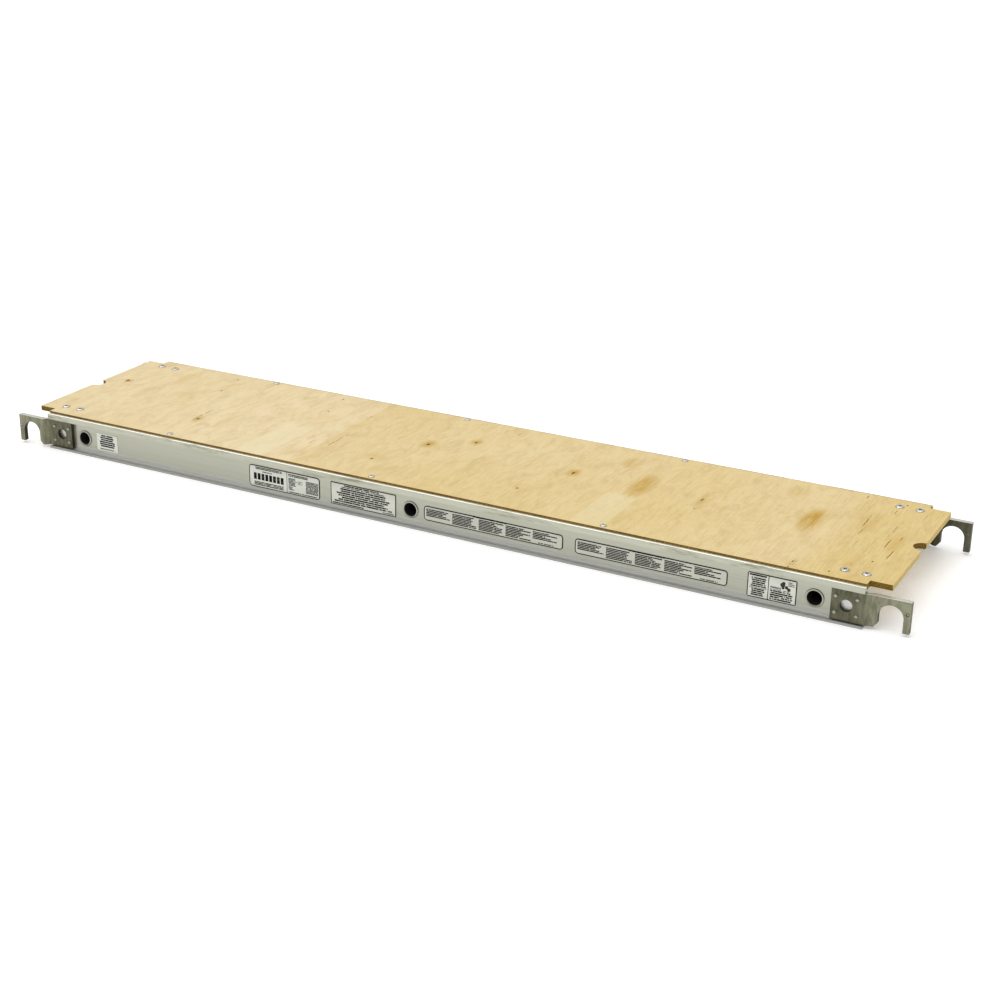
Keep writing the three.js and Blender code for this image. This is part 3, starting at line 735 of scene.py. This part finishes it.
def bore_metal():
    """The unpolished inside of a tube, with oxide and dirt, painted near-black with the shade deep in
    the bore.
    """
    s = Surface("tube_bore")
    dirt = s.noise((60, 12, 60), 4, 0.7)
    color = s.tint(BORE_SHADE, BORE_DIRT, dirt, 0.4, 0.8)
    return s.finish(color, s.scaled(dirt, 0.2, 0.7), 0.3, s.bump(dirt, 0.1 * MM))


def bracket_metal():
    """Folded sheet with rolling marks along the rail."""
    s = Surface("bracket_aluminium")
    lines = s.noise((8, 420, 420), 3, 0.6)
    clouds = s.noise((40, 40, 40), 3)
    color = s.tint(BRACKET_TONE, RAIL_DARK, clouds, 0.4, 0.7, 0.5)
    color = s.tint(color, RAIL_DARK, lines, 0.5, 0.8, 0.3)
    return s.finish(color, s.scaled(lines, 0.2, 0.34), 0.9, s.bump(lines, 0.03 * MM))


def rivet_metal(name, tone, dull, crown=None):
    """Zinc plate on steel, with scuffs. A hook's rivets get a painted highlight on their crowns."""
    s = Surface(name)
    scuffs = s.noise((350, 350, 350), 4, 0.7)
    color = s.tint(tone, dull, scuffs, 0.42, 0.68)
    if crown:
        # Painted highlight where a hook rivet's crown faces straight out.
        color = s.tint(color, crown, s.positive(s.facing(1)), 0.94, 0.995)
    roughness = s.scaled(s.fade(scuffs, 0.4, 0.8), 0.2, 0.24)
    return s.finish(color, roughness, 1.0, s.bump(scuffs, 0.04 * MM))


def dimple_steel():
    """The snapped mandrel at the bottom of a rivet's dimple, and the dimple's walls, painted
    near-black with the shade in the hollow.
    """
    s = Surface("rivet_dimple")
    grit = s.noise((900, 900, 900), 3)
    color = s.mix(grit, DIMPLE_SHADE, DIMPLE_GRIT)
    return s.finish(color, 0.65, 0.6, s.bump(grit, 0.05 * MM))


# ---- deck

def notch(end_x):
    """Half-round notch with slightly flared sides, from its mouth's near corner to its far one."""
    middle = end_x - NOTCH_DEPTH + NOTCH_RADIUS
    to_mouth = Vector((end_x - middle, NOTCH_HALF_MOUTH))
    tangent = math.degrees(to_mouth.angle(Vector((1, 0))) + math.acos(NOTCH_RADIUS / to_mouth.length))
    curve = arc(middle, 0, NOTCH_RADIUS, 360 - tangent, tangent, 24)
    return [(end_x, -NOTCH_HALF_MOUTH), *curve, (end_x, NOTCH_HALF_MOUTH)]


def deck_outline():
    right = [
        (RAIL_END, -DECK_HALF_WIDTH), (RAIL_END, -DECK_END_HALF_WIDTH),
        (DECK_END, -DECK_END_HALF_WIDTH), *notch(DECK_END), (DECK_END, DECK_END_HALF_WIDTH),
        (RAIL_END, DECK_END_HALF_WIDTH), (RAIL_END, DECK_HALF_WIDTH),
    ]
    return soften(right + [(-x, -y) for x, y in right], DECK_CORNER_ROUND)


def ply_stations():
    """Stations up the deck's edge, with every other ply worn back a little."""
    stations = rounded_stations(DECK_BOTTOM, DECK_TOP, DECK_ROUND)
    half = len(stations) // 2
    for ply in range(1, PLIES):
        seam = DECK_BOTTOM + ply * PLY_PITCH
        below, above = (0, PLY_RELIEF) if ply % 2 else (PLY_RELIEF, 0)
        stations[-half:-half] = [(seam - PLY_STEP, below), (seam + PLY_STEP, above)]
    return stations


def rivet_nodes(kind):
    return sorted(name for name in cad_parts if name.startswith(f"{kind}_rivet_"))


def build_deck(material):
    holes = [
        circle_hole(centre(node).x, centre(node).y, SHANKS[kind] + HOLE_CLEARANCE, 20)
        for kind in ("deck", "edge") for node in rivet_nodes(kind)
    ]
    bm = prism_mesh([deck_outline(), *holes], ply_stations())
    finish_piece(bm, "plywood_deck", "deck_panel", [material])


# ---- rails

def rail_section():
    """The rail's section as (distance from the centreline, height), anticlockwise."""
    toe_x = WEB_OUTER + TOE_FILLET
    shoulder = TOP_FLANGE_UNDER - WEB_FILLET
    foot = BOTTOM_FLANGE + WEB_FILLET
    corners = [
        (FLANGE_INNER, 0),
        (RAIL_OUTER, 0),
        (RAIL_OUTER, GROOVE_Z - GROOVE_HALF),
        (RAIL_OUTER - GROOVE_HALF, GROOVE_Z),
        (RAIL_OUTER, GROOVE_Z + GROOVE_HALF),
        (RAIL_OUTER, TOE_TOP),
        (RAIL_OUTER - WALL, TOE_TOP),
        (RAIL_OUTER - WALL, BOTTOM_FLANGE),
        *arc(toe_x, BOTTOM_FLANGE + TOE_FILLET, TOE_FILLET, -90, -180, 10),
        *arc(WEB_OUTER + WEB_FILLET, shoulder, WEB_FILLET, 180, 90, 6),
        (RAIL_OUTER - WALL, TOP_FLANGE_UNDER),
        (RAIL_OUTER - WALL, DRIP_EDGE),
        (RAIL_OUTER, DRIP_EDGE),
        *arc(RAIL_OUTER - LIP_ROUND_OUTER, RAIL_TOP - LIP_ROUND_OUTER, LIP_ROUND_OUTER, 0, 90, 8),
        *arc(LIP_INNER + LIP_ROUND_INNER, RAIL_TOP - LIP_ROUND_INNER, LIP_ROUND_INNER, 90, 180, 6),
        (LIP_INNER, SEAT_Z),
        (FLANGE_INNER, SEAT_Z),
        (FLANGE_INNER, TOP_FLANGE_UNDER),
        *arc(WEB_INNER - WEB_FILLET, shoulder, WEB_FILLET, 90, 0, 6),
        *arc(WEB_INNER - WEB_FILLET, foot, WEB_FILLET, 0, -90, 6),
        (FLANGE_INNER, BOTTOM_FLANGE),
    ]
    return soften(corners, EXTRUSION_ROUND)


def rivet_drills(kind, side, axis):
    """The holes for one kind of rivet on one side of the plank."""
    nodes = [node for node in rivet_nodes(kind) if side in node]
    return [(centre(node), axis, SHANKS[kind] + HOLE_CLEARANCE) for node in nodes]


def build_rail(side, material):
    sign = SIDES[side]
    bm = prism_mesh([rail_section()], rounded_stations(-RAIL_END, RAIL_END, SAWN_ROUND, 2))
    bm.transform(along_x(sign))
    web = sign * (WEB_INNER + WEB_OUTER) / 2
    holes = [
        ((centre(f"cross_tube_{place}").x, web, TUBE_Z), ACROSS, TUBE_RADIUS + HOLE_CLEARANCE)
        for place in TUBES
    ]
    holes += rivet_drills("hook", side, ACROSS)
    holes += rivet_drills("edge", side, UP)
    bm = drill(bm, holes)
    finish_piece(bm, f"extruded_rail_{side}", f"side_rail_{side}", [material])


# ---- cross tubes

def tube_profile():
    """The tube's section from the middle of its bore out to the far end and back to the near end."""
    face, bead = WEB_OUTER + HOLE_CLEARANCE, WEB_INNER - HOLE_CLEARANCE
    end, lip = TUBE_HALF_LENGTH, (COLLAR_RADIUS - TUBE_BORE) / 2
    half = [
        (TUBE_BORE, end - BORE_DEPTH_DARK),
        *arc(TUBE_BORE + lip, end - lip, lip, 180, 0, 14),
        (COLLAR_RADIUS, face),
        (TUBE_RADIUS, face),
        (TUBE_RADIUS, bead),
        *arc(TUBE_RADIUS, bead - BEAD_WIDTH / 2, BEAD_WIDTH / 2, 90, -90, 8),
    ]
    half = [(min(r, BEAD_RADIUS), min(h, end)) for r, h in half]
    return half + [(r, -h) for r, h in reversed(half)]


def build_tube(place, bore):
    node = f"cross_tube_{place}"
    middle = centre(node)
    bm = lathe_mesh(tube_profile(), middle, ACROSS, 64)
    for face in bm.faces:
        away = [Vector((v.co.x - middle.x, v.co.z - middle.z)).length for v in face.verts]
        deep = [abs(v.co.y) < TUBE_HALF_LENGTH - BORE_DEPTH_DARK + 0.1 * MM for v in face.verts]
        face.material_index = int(max(away) < TUBE_BORE + 0.1 * MM and all(deep))
    materials = [tube_metal(place), bore]
    finish_piece(bm, f"swaged_tube_{place}", node, materials, 50)


# ---- hooks

def hook_outline():
    """The right-hand hook and its plate from the side, anticlockwise from the plate's foot."""
    post, leg = ARCH_X - ARCH_RADIUS, ARCH_X + ARCH_RADIUS
    corners = [
        (PLATE_START, HOOK_BOTTOM),
        (post - POST_CHAMFER[0], HOOK_BOTTOM),
        (post, HOOK_BOTTOM + POST_CHAMFER[1]),
        *arc(ARCH_X, ARCH_Z, ARCH_RADIUS, 180, 0, 48),
        (leg, HOOK_BOTTOM),
        (HOOK_TIP, HOOK_BOTTOM),
        (HOOK_TIP, HOOK_TOP),
        (PLATE_START, HOOK_TOP),
    ]
    return soften(corners, HOOK_CORNER_ROUND)


def hook_holes(side, end):
    rivets = [node for node in rivet_nodes("hook") if f"{side}_{end}" in node]
    places = [(abs(centre(node).x), centre(node).z) for node in rivets]
    holes = [circle_hole(x, z, SHANKS["hook"] + HOLE_CLEARANCE, 20) for x, z in places]
    return [*holes, circle_hole(WINDOW_X, WINDOW_Z, WINDOW_RADIUS, 48)]


def jog(x, end):
    """The hook's inner and outer faces at x, as distances from the centreline."""
    along = min(max((x - JOG_START) / JOG_LENGTH, 0), 1)
    ease = 0.5 - 0.5 * math.cos(math.pi * along)
    inner = PLATE_INNER + (HOOK_INNER[end] - PLATE_INNER) * ease
    outer = PLATE_OUTER + (HOOK_INNER[end] + HOOK_THICKNESS - PLATE_OUTER) * ease
    return inner, outer


def pin_sink(side, end):
    """The ring-shaped sink round the plugged lock hole, on the hook's outer face."""
    ring = [
        (PIN_RADIUS, -PIN_SINK_DEPTH), (PIN_SINK_RADIUS - 0.4 * MM, -PIN_SINK_DEPTH),
        (PIN_SINK_RADIUS, PIN_SINK_DEPTH), (PIN_RADIUS - PIN_WORN, PIN_SINK_DEPTH),
    ]
    face = HOOK_INNER[end] + HOOK_THICKNESS
    return lathe_mesh(ring, (ENDS[end] * PIN_X, SIDES[side] * face, PIN_Z), (0, SIDES[side], 0), 32)


def build_hook(side, end, material):
    stations = rounded_stations(0, HOOK_THICKNESS, HOOK_EDGE_ROUND)
    bm = prism_mesh([hook_outline(), *hook_holes(side, end)], stations)
    for i in range(13):
        cut = Vector((JOG_START + JOG_LENGTH * i / 12, 0, 0))
        everything = [*bm.verts, *bm.edges, *bm.faces]
        bmesh.ops.bisect_plane(bm, geom=everything, plane_co=cut, plane_no=(1, 0, 0))
    for vertex in bm.verts:
        x, z, through = vertex.co
        inner, outer = jog(x, end)
        if z < HOOK_BOTTOM + 1 * MM and through < HOOK_EDGE_ROUND and x < JOG_START:
            z += HEEL_BEVEL
        share = through / HOOK_THICKNESS
        vertex.co = (ENDS[end] * x, SIDES[side] * (inner + (outer - inner) * share), z)
    bm = subtract(bm, pin_sink(side, end))
    name, node = f"jogged_hook_{side}_{end}", f"hook_{side}_{end}"
    finish_piece(bm, name, node, [material])


# ---- corner brackets

def bracket_section(node):
    """The bracket's section as (distance from the centreline, height), anticlockwise."""
    reach, upright = sorted(abs(corner.y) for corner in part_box(node))
    foot, top = low(node).z, high(node).z
    under = TOP_FLANGE_UNDER - HOLE_CLEARANCE
    slope = math.atan2(top - under, JOGGLE_RUN)
    lean = BRACKET_THICKNESS * math.tan(slope / 2)
    joggle_end = JOGGLE_START - JOGGLE_RUN
    corners = [
        (upright, foot),
        (upright, under),
        (JOGGLE_START, under),
        (joggle_end, top),
        (reach, top),
        (reach, top - BRACKET_THICKNESS),
        (joggle_end - lean, top - BRACKET_THICKNESS),
        (JOGGLE_START - lean, under - BRACKET_THICKNESS),
        (upright - BRACKET_THICKNESS, under - BRACKET_THICKNESS),
        (upright - BRACKET_THICKNESS, foot),
    ]
    return soften(corners, BRACKET_ROUND, 5)


def build_bracket(side, end, material):
    node = f"corner_bracket_{side}_{end}"
    stations = rounded_stations(low(node).x, high(node).x, 0.5 * MM)
    bm = prism_mesh([bracket_section(node)], stations)
    bm.transform(along_x(SIDES[side]))
    corner = f"{side}_{end}"
    bm = drill(bm, rivet_drills("hook", corner, ACROSS) + rivet_drills("deck", corner, UP))
    finish_piece(bm, f"joggled_bracket_{side}_{end}", node, [material])


# ---- rivets

# Sizes of each kind in millimetres: the head's height, the tail's radius and height, and the
# dimple's radius and depth.
RIVETS = {
    "hook": {"crown": 2.8, "tail": 4.6, "tail_height": 2.6, "dimple": 0, "sink": 0},
    "deck": {"crown": 2.9, "tail": 5.4, "tail_height": 5.0, "dimple": 2.9, "sink": 2.0},
    "edge": {"crown": 2.4, "tail": 3.6, "tail_height": 4.0, "dimple": 1.5, "sink": 1.2},
}
RIVET_RIM = 0.7 * MM  # thickness of a head at its rim
DIMPLE_ROUND = 0.5 * MM


def rivet_profile(kind, head, length):
    """The rivet's section from its tail's tip, at height 0, to the top of its head."""
    shank = SHANKS[kind]
    crown, tail, tail_height, dimple, sink = (size * MM for size in RIVETS[kind].values())
    seat = length - crown + HOLE_CLEARANCE
    rim = seat + RIVET_RIM / 2
    tail_round = arc(tail - 0.9 * MM, 0.9 * MM, 0.9 * MM, -90, 0, 4)
    flange = arc(head - RIVET_RIM / 2, rim, RIVET_RIM / 2, -90, 0, 4)
    flat = dimple + DIMPLE_ROUND if dimple else 0
    profile = [(0, 0), *tail_round, (tail, tail_height), (shank, tail_height), (shank, seat), *flange]
    for i in range(1, 10):
        share = 1 - i / 9
        rise = (length - rim) * math.sqrt(1 - share ** 2.2)
        profile.append((flat + (head - flat) * share, rim + rise))
    if dimple:
        profile += arc(flat, length - DIMPLE_ROUND, DIMPLE_ROUND, 90, 180, 4)[1:]
        profile += [(dimple * 0.9, length - sink), (0, length - sink * 0.9)]
    return profile


def build_rivet(kind, node, metal, dimple):
    bottom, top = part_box(node)
    middle, size = (bottom + top) / 2, top - bottom
    outwards = Vector((0, math.copysign(1, middle.y), 0) if kind == "hook" else UP)
    length = size.y if kind == "hook" else size.z
    tip = middle - outwards * length / 2
    bm = lathe_mesh(rivet_profile(kind, size.x / 2, length), tip, outwards, 40)
    # The dimple's walls and bottom take the near-black painted shade.
    hollow = (RIVETS[kind]["dimple"] + 0.3) * MM
    for face in bm.faces:
        from_tip = [v.co - tip for v in face.verts]
        high_up = min(v.dot(outwards) for v in from_tip) > length / 2
        near_axis = max((v - outwards * v.dot(outwards)).length for v in from_tip) < hollow
        face.material_index = int(high_up and near_axis)
    finish_piece(bm, f"domed_{node}", node, [metal, dimple], 50)


# ---- labels

FILM = (0.76, 0.77, 0.69)
FILM_WORN = (0.50, 0.505, 0.42)
INK = (0.004, 0.004, 0.004)
ROW_FILL = 0.72  # share of a row's pitch that is printed
BORDER_WIDTH = 1.5  # half of a border line's width, and a soft edge


class Print:
    """Generic printing on a label: bars, rows of dashes and frames, with no lettering. Places are in
    millimetres from the label's left edge and foot."""

    def __init__(self, node):
        self.s = Surface(f"{node}_print")
        self.corner = low(node)
        size = high(node) - self.corner
        self.width, self.height = size.x / MM, size.z / MM
        self.u = self.s.math("DIVIDE", self.s.minus(self.s.x, self.corner.x), MM)
        self.v = self.s.math("DIVIDE", self.s.minus(self.s.z, self.corner.z), MM)
        self.marks = []
        self.seed = 0
        self.dulling = 0.0

    def between(self, value, start, end, soft=0.15):
        fade = self.s.fade
        inside = fade(value, start - soft, start + soft)
        return self.s.product(inside, fade(value, end + soft, end - soft))

    def box(self, left, right, foot, top):
        return self.s.product(self.between(self.u, left, right), self.between(self.v, foot, top))

    def bar(self, left, right, foot, top, strength=1.0):
        self.marks.append(self.s.product(self.box(left, right, foot, top), strength))

    def blocks(self, left, right, foot, top, pitch):
        """A heavy row of equal blocks."""
        s = self.s
        phase = s.math("FRACT", s.math("DIVIDE", s.minus(self.u, left), pitch))
        printed = self.between(phase, 0.08, 0.84, 0.04)
        self.marks.append(s.product(self.box(left, right, foot, top), printed))

    def rows(self, left, right, foot, top, pitch, strength=1.0, ragged=0.0, centred=False):
        """Rows of dashes. ragged lets rows fall short by up to that share, perhaps at both ends."""
        s = self.s
        self.seed += 1
        step = s.math("DIVIDE", s.minus(self.v, foot), pitch)
        row = s.math("FLOOR", step)
        in_row = self.between(s.math("FRACT", step), 0.14, 0.14 + ROW_FILL, 0.06)
        shift = s.scaled(row, 7.3, self.seed * 31.7)
        where = s.add("CombineXYZ", {0: s.math("DIVIDE", self.u, 2.2), 1: shift}).outputs[0]
        dashes = s.add("TexNoise", {"Vector": where, "Scale": 1.0, "Detail": 1.0}).outputs["Fac"]
        mark = s.product(in_row, s.fade(dashes, 0.34, 0.40), strength)
        start, end = left, right
        if ragged:
            random = s.add("TexWhiteNoise", {"W": shift}, noise_dimensions="1D")
            share = ragged * (right - left) / (2 if centred else 1)
            cut = s.product(random.outputs["Value"], share)
            start = s.plus(cut, left) if centred else left
            end = s.minus(right, cut)
        inside = s.product(self.between(self.v, foot, top), s.math("GREATER_THAN", self.u, start),
                           s.math("LESS_THAN", self.u, end))
        self.marks.append(s.product(mark, inside))

    def frame(self, margin, corner):
        """A thin line round the label, with rounded corners."""
        s = self.s
        away = []
        for value, size in ((self.u, self.width), (self.v, self.height)):
            offset = s.positive(s.minus(value, size / 2))
            away.append(s.minus(offset, size / 2 - margin - corner))
        reach = s.reach(*(s.most([a, 0.0]) for a in away))
        inside = s.math("MINIMUM", s.most(away), 0.0)
        distance = s.positive(s.minus(s.plus(reach, inside), corner))
        self.marks.append(s.fade(distance, BORDER_WIDTH, 0.6 * BORDER_WIDTH))

    def disc(self, u, v, radius):
        s = self.s
        reach = s.reach(s.minus(self.u, u), s.minus(self.v, v))
        self.marks.append(s.product(s.fade(reach, radius + 0.2, radius - 0.2), 0.95))

    def material(self):
        s = self.s
        ink = s.most(self.marks)
        wear = s.fade(s.noise((160, 160, 160), 4, 0.7), 0.30, 0.46)
        clouds = s.noise((25, 25, 60), 3)
        dulling = s.scaled(clouds, 0.3, self.dulling, clamp=True)
        film = s.mix(dulling, FILM, FILM_WORN)
        color = s.mix(s.product(ink, s.scaled(wear, 0.15, 0.85)), film, INK)
        shine = s.scaled(ink, -0.40, 0.45)
        normal = s.bump(clouds, 0.03 * MM, 0.3)
        return s.finish(color, s.scaled(ink, 0.12, 0.38), normal=normal, Specular_IOR_Level=shine)


def print_left_end(p):
    p.rows(7, p.width - 7, 9.5, p.height - 3, 5.2, 1.0, 0.3, centred=True)
    p.rows(9, p.width - 12, 2.4, 6.4, 4.0, 0.8)


def print_size(p):
    split = 0.54 * p.width
    p.dulling = 0.15
    p.frame(0.9, 7.0)
    p.bar(split - 0.7, split + 0.7, 1, p.height - 1)
    p.rows(18, split - 14, 43.5, 49.5, 3.2)
    p.rows(36, split - 40, 37.5, 41, 3.2, 0.9)
    p.blocks(12, split - 8, 18.5, 34.5, 10.6)
    p.rows(14, split - 10, 4.5, 14.5, 3.3)
    p.rows(split + 4, p.width - 32, 42, 49, 3.4)
    p.rows(split + 4, split + 27, 20, 39, 3.2, 0.95, 0.3)
    p.rows(split + 29, split + 44, 26, 36, 3.2, 0.6, 0.4)
    p.rows(split + 51, p.width - 4, 9, 39, 2.3)
    p.rows(split + 4, split + 20, 10, 19, 3.0, 0.95, 0.4)
    p.rows(split + 4, p.width - 8, 3.2, 6.8, 3.4, 0.95)


def print_notice(p):
    p.dulling = 0.25
    p.frame(0.8, 0.8)
    p.rows(36, p.width - 44, 46, 51, 4.6)
    p.rows(7, p.width - 8, 7.5, 45.5, 5.0, 1.0, 0.35, centred=True)
    p.rows(5, p.width - 84, 2.6, 6.6, 4.0)
    p.rows(p.width - 34, p.width - 6, 2.6, 6.6, 4.0, 0.8)


def print_long(p):
    p.dulling = 0.6
    p.frame(1.0, 6.5)
    p.rows(0.36 * p.width, 0.60 * p.width, 30.2, 34.2, 4.0)
    pitch = (p.width - 12) / 5
    for column, (foot, ragged) in enumerate(((10, 0.4), (4, 0.35), (4, 0.4), (4, 0.45), (12, 0.6))):
        left = 6 + column * pitch
        p.rows(left, left + pitch - 3, foot, 29, 3.6, 1.0, ragged)
        p.rows(left, left + 0.5 * pitch, foot, 29, 3.6, 1.0, 0.3)
    p.rows(p.width - 58, p.width - 20, 2.6, 6.6, 4.0, 0.8)


def print_right_end(p):
    split = 0.43 * p.width
    p.dulling = 0.1
    p.frame(0.8, 1.4)
    p.bar(split - 0.8, split + 0.8, 1, p.height - 1)
    p.rows(4, split - 4, 46, 51, 4.6)
    p.rows(7, split - 4, 23, 45, 4.2, 1.0, 0.25, centred=True)
    p.bar(4, split - 3, 20.8, 22.2, 0.8)
    p.rows(9, split - 6, 4, 20, 4.2, 1.0, 0.2)
    for u, v, radius in ((29, 39, 5.0), (37, 35, 3.6), (42, 31, 3.8), (30, 33, 3.0), (31, 43, 3.4)):
        p.disc(split + u, v, radius)
    p.rows(split + 40, split + 54, 38, 48, 3.4, 0.7, 0.5)
    p.rows(split + 4, split + 26, 28, 33, 4.0, 0.9)
    p.rows(split + 4, p.width - 6, 3, 27, 4.4, 1.0, 0.2)


LABELS = {
    "label_left_end": (print_left_end, 1.5 * MM),
    "label_size": (print_size, 8 * MM),
    "label_notice": (print_notice, 2 * MM),
    "label_long_left": (print_long, 8 * MM),
    "label_long_right": (print_long, 8 * MM),
    "label_right_end": (print_right_end, 4 * MM),
}


def build_label(node, design, corner):
    bottom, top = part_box(node)
    outline = []
    left, right = bottom.x + corner, top.x - corner
    foot, head = bottom.z + corner, top.z - corner
    for x, z, start in ((right, foot, -90), (right, head, 0), (left, head, 90), (left, foot, 180)):
        outline += arc(x, z, corner, start, start + 90, 8)
    bm = prism_mesh([outline], rounded_stations(bottom.y, top.y, 0.12 * MM, 2))
    bm.transform(SWAP_Y_AND_Z)
    printing = Print(node)
    design(printing)
    finish_piece(bm, f"film_{node}", node, [printing.material()])


# ---- the plank

def build_plank():
    build_deck(plywood())
    hook_material, bracket_material, bore_material = hook_metal(), bracket_metal(), bore_metal()
    for side in SIDES:
        build_rail(side, rail_metal(side))
        for end in ENDS:
            build_hook(side, end, hook_material)
            build_bracket(side, end, bracket_material)
    for place in TUBES:
        build_tube(place, bore_material)
    zinc = rivet_metal("rivet_zinc", ZINC_TONE, ZINC_DULL)
    dull_zinc = rivet_metal("rivet_dull_zinc", HOOK_RIVET_TONE, HOOK_TONE, HOOK_RIVET_HIGHLIGHT)
    dimple = dimple_steel()
    for kind in RIVETS:
        for node in rivet_nodes(kind):
            build_rivet(kind, node, dull_zinc if kind == "hook" else zinc, dimple)
    for node, (design, corner) in LABELS.items():
        build_label(node, design, corner)


# ---- stage, light and camera

FLOOR_HALF = 60
FLOOR_TONE = (0.97, 0.97, 0.97)
FLOOR_GLOW = 0.2  # the light that a lit studio table passes up from below
SKY_LOW, SKY_HIGH = 0.30, 0.85  # light from the horizon, and from overhead
SKY_FULL = 0.7  # how far up a direction points where the light is full
KEY_FROM = (-0.35, -0.25, 1.0)
KEY_STRENGTH = 1.25
KEY_SPREAD = math.radians(75)
CAMERA_PLACE = (1.820, -3.2916, 1.4883)
CAMERA_AIM = (0.0617, -0.1608, 0.05)
CAMERA_ROLL = math.radians(0.26)
CAMERA_LENS = 63.4
CAMERA_SHIFT_X = 0.05


def build_floor():
    bm = bmesh.new()
    bmesh.ops.create_grid(bm, x_segments=8, y_segments=8, size=FLOOR_HALF)
    floor = link("floor", mesh_of(bm, "floor"))
    s = Surface("studio_floor")
    color = s.mix(s.noise((3, 3, 1)), FLOOR_TONE, tuple(0.99 * tone for tone in FLOOR_TONE))
    material = s.finish(color, 0.9, Emission_Color=color, Emission_Strength=FLOOR_GLOW)
    floor.data.materials.append(material)


def build_light():
    """White sky whose light weakens towards the horizon, and one very broad key light overhead."""
    world = bpy.data.worlds.new("studio")
    world.use_nodes = True
    background = world.node_tree.nodes["Background"]
    s = Nodes(world.node_tree)
    up = s.add("SeparateXYZ", {0: s.add("TexCoord").outputs["Generated"]}).outputs[2]
    light = s.scaled(s.fade(up, 0.0, SKY_FULL), SKY_HIGH - SKY_LOW, SKY_LOW)
    seen = s.add("LightPath").outputs["Is Camera Ray"]
    s.feed(background.inputs["Color"], (1, 1, 1))
    s.feed(background.inputs["Strength"], s.most([light, seen]))
    bpy.context.scene.world = world
    bpy.context.scene.view_settings.view_transform = "Standard"
    key = bpy.data.lights.new("key", "SUN")
    key.angle, key.energy = KEY_SPREAD, KEY_STRENGTH
    link("key", key).rotation_euler = (-Vector(KEY_FROM)).to_track_quat("-Z", "Y").to_euler()


def build_camera():
    camera = bpy.data.cameras.new("camera")
    camera.lens = CAMERA_LENS
    camera.sensor_width = 36
    camera.shift_x = CAMERA_SHIFT_X
    holder = link("camera", camera)
    look = (Vector(CAMERA_AIM) - Vector(CAMERA_PLACE)).to_track_quat("-Z", "Y").to_matrix().to_4x4()
    roll = Matrix.Rotation(CAMERA_ROLL, 4, "Z")
    holder.matrix_world = Matrix.Translation(CAMERA_PLACE) @ look @ roll
    bpy.context.scene.camera = holder


build_camera()
build_plank()
build_floor()
build_light()
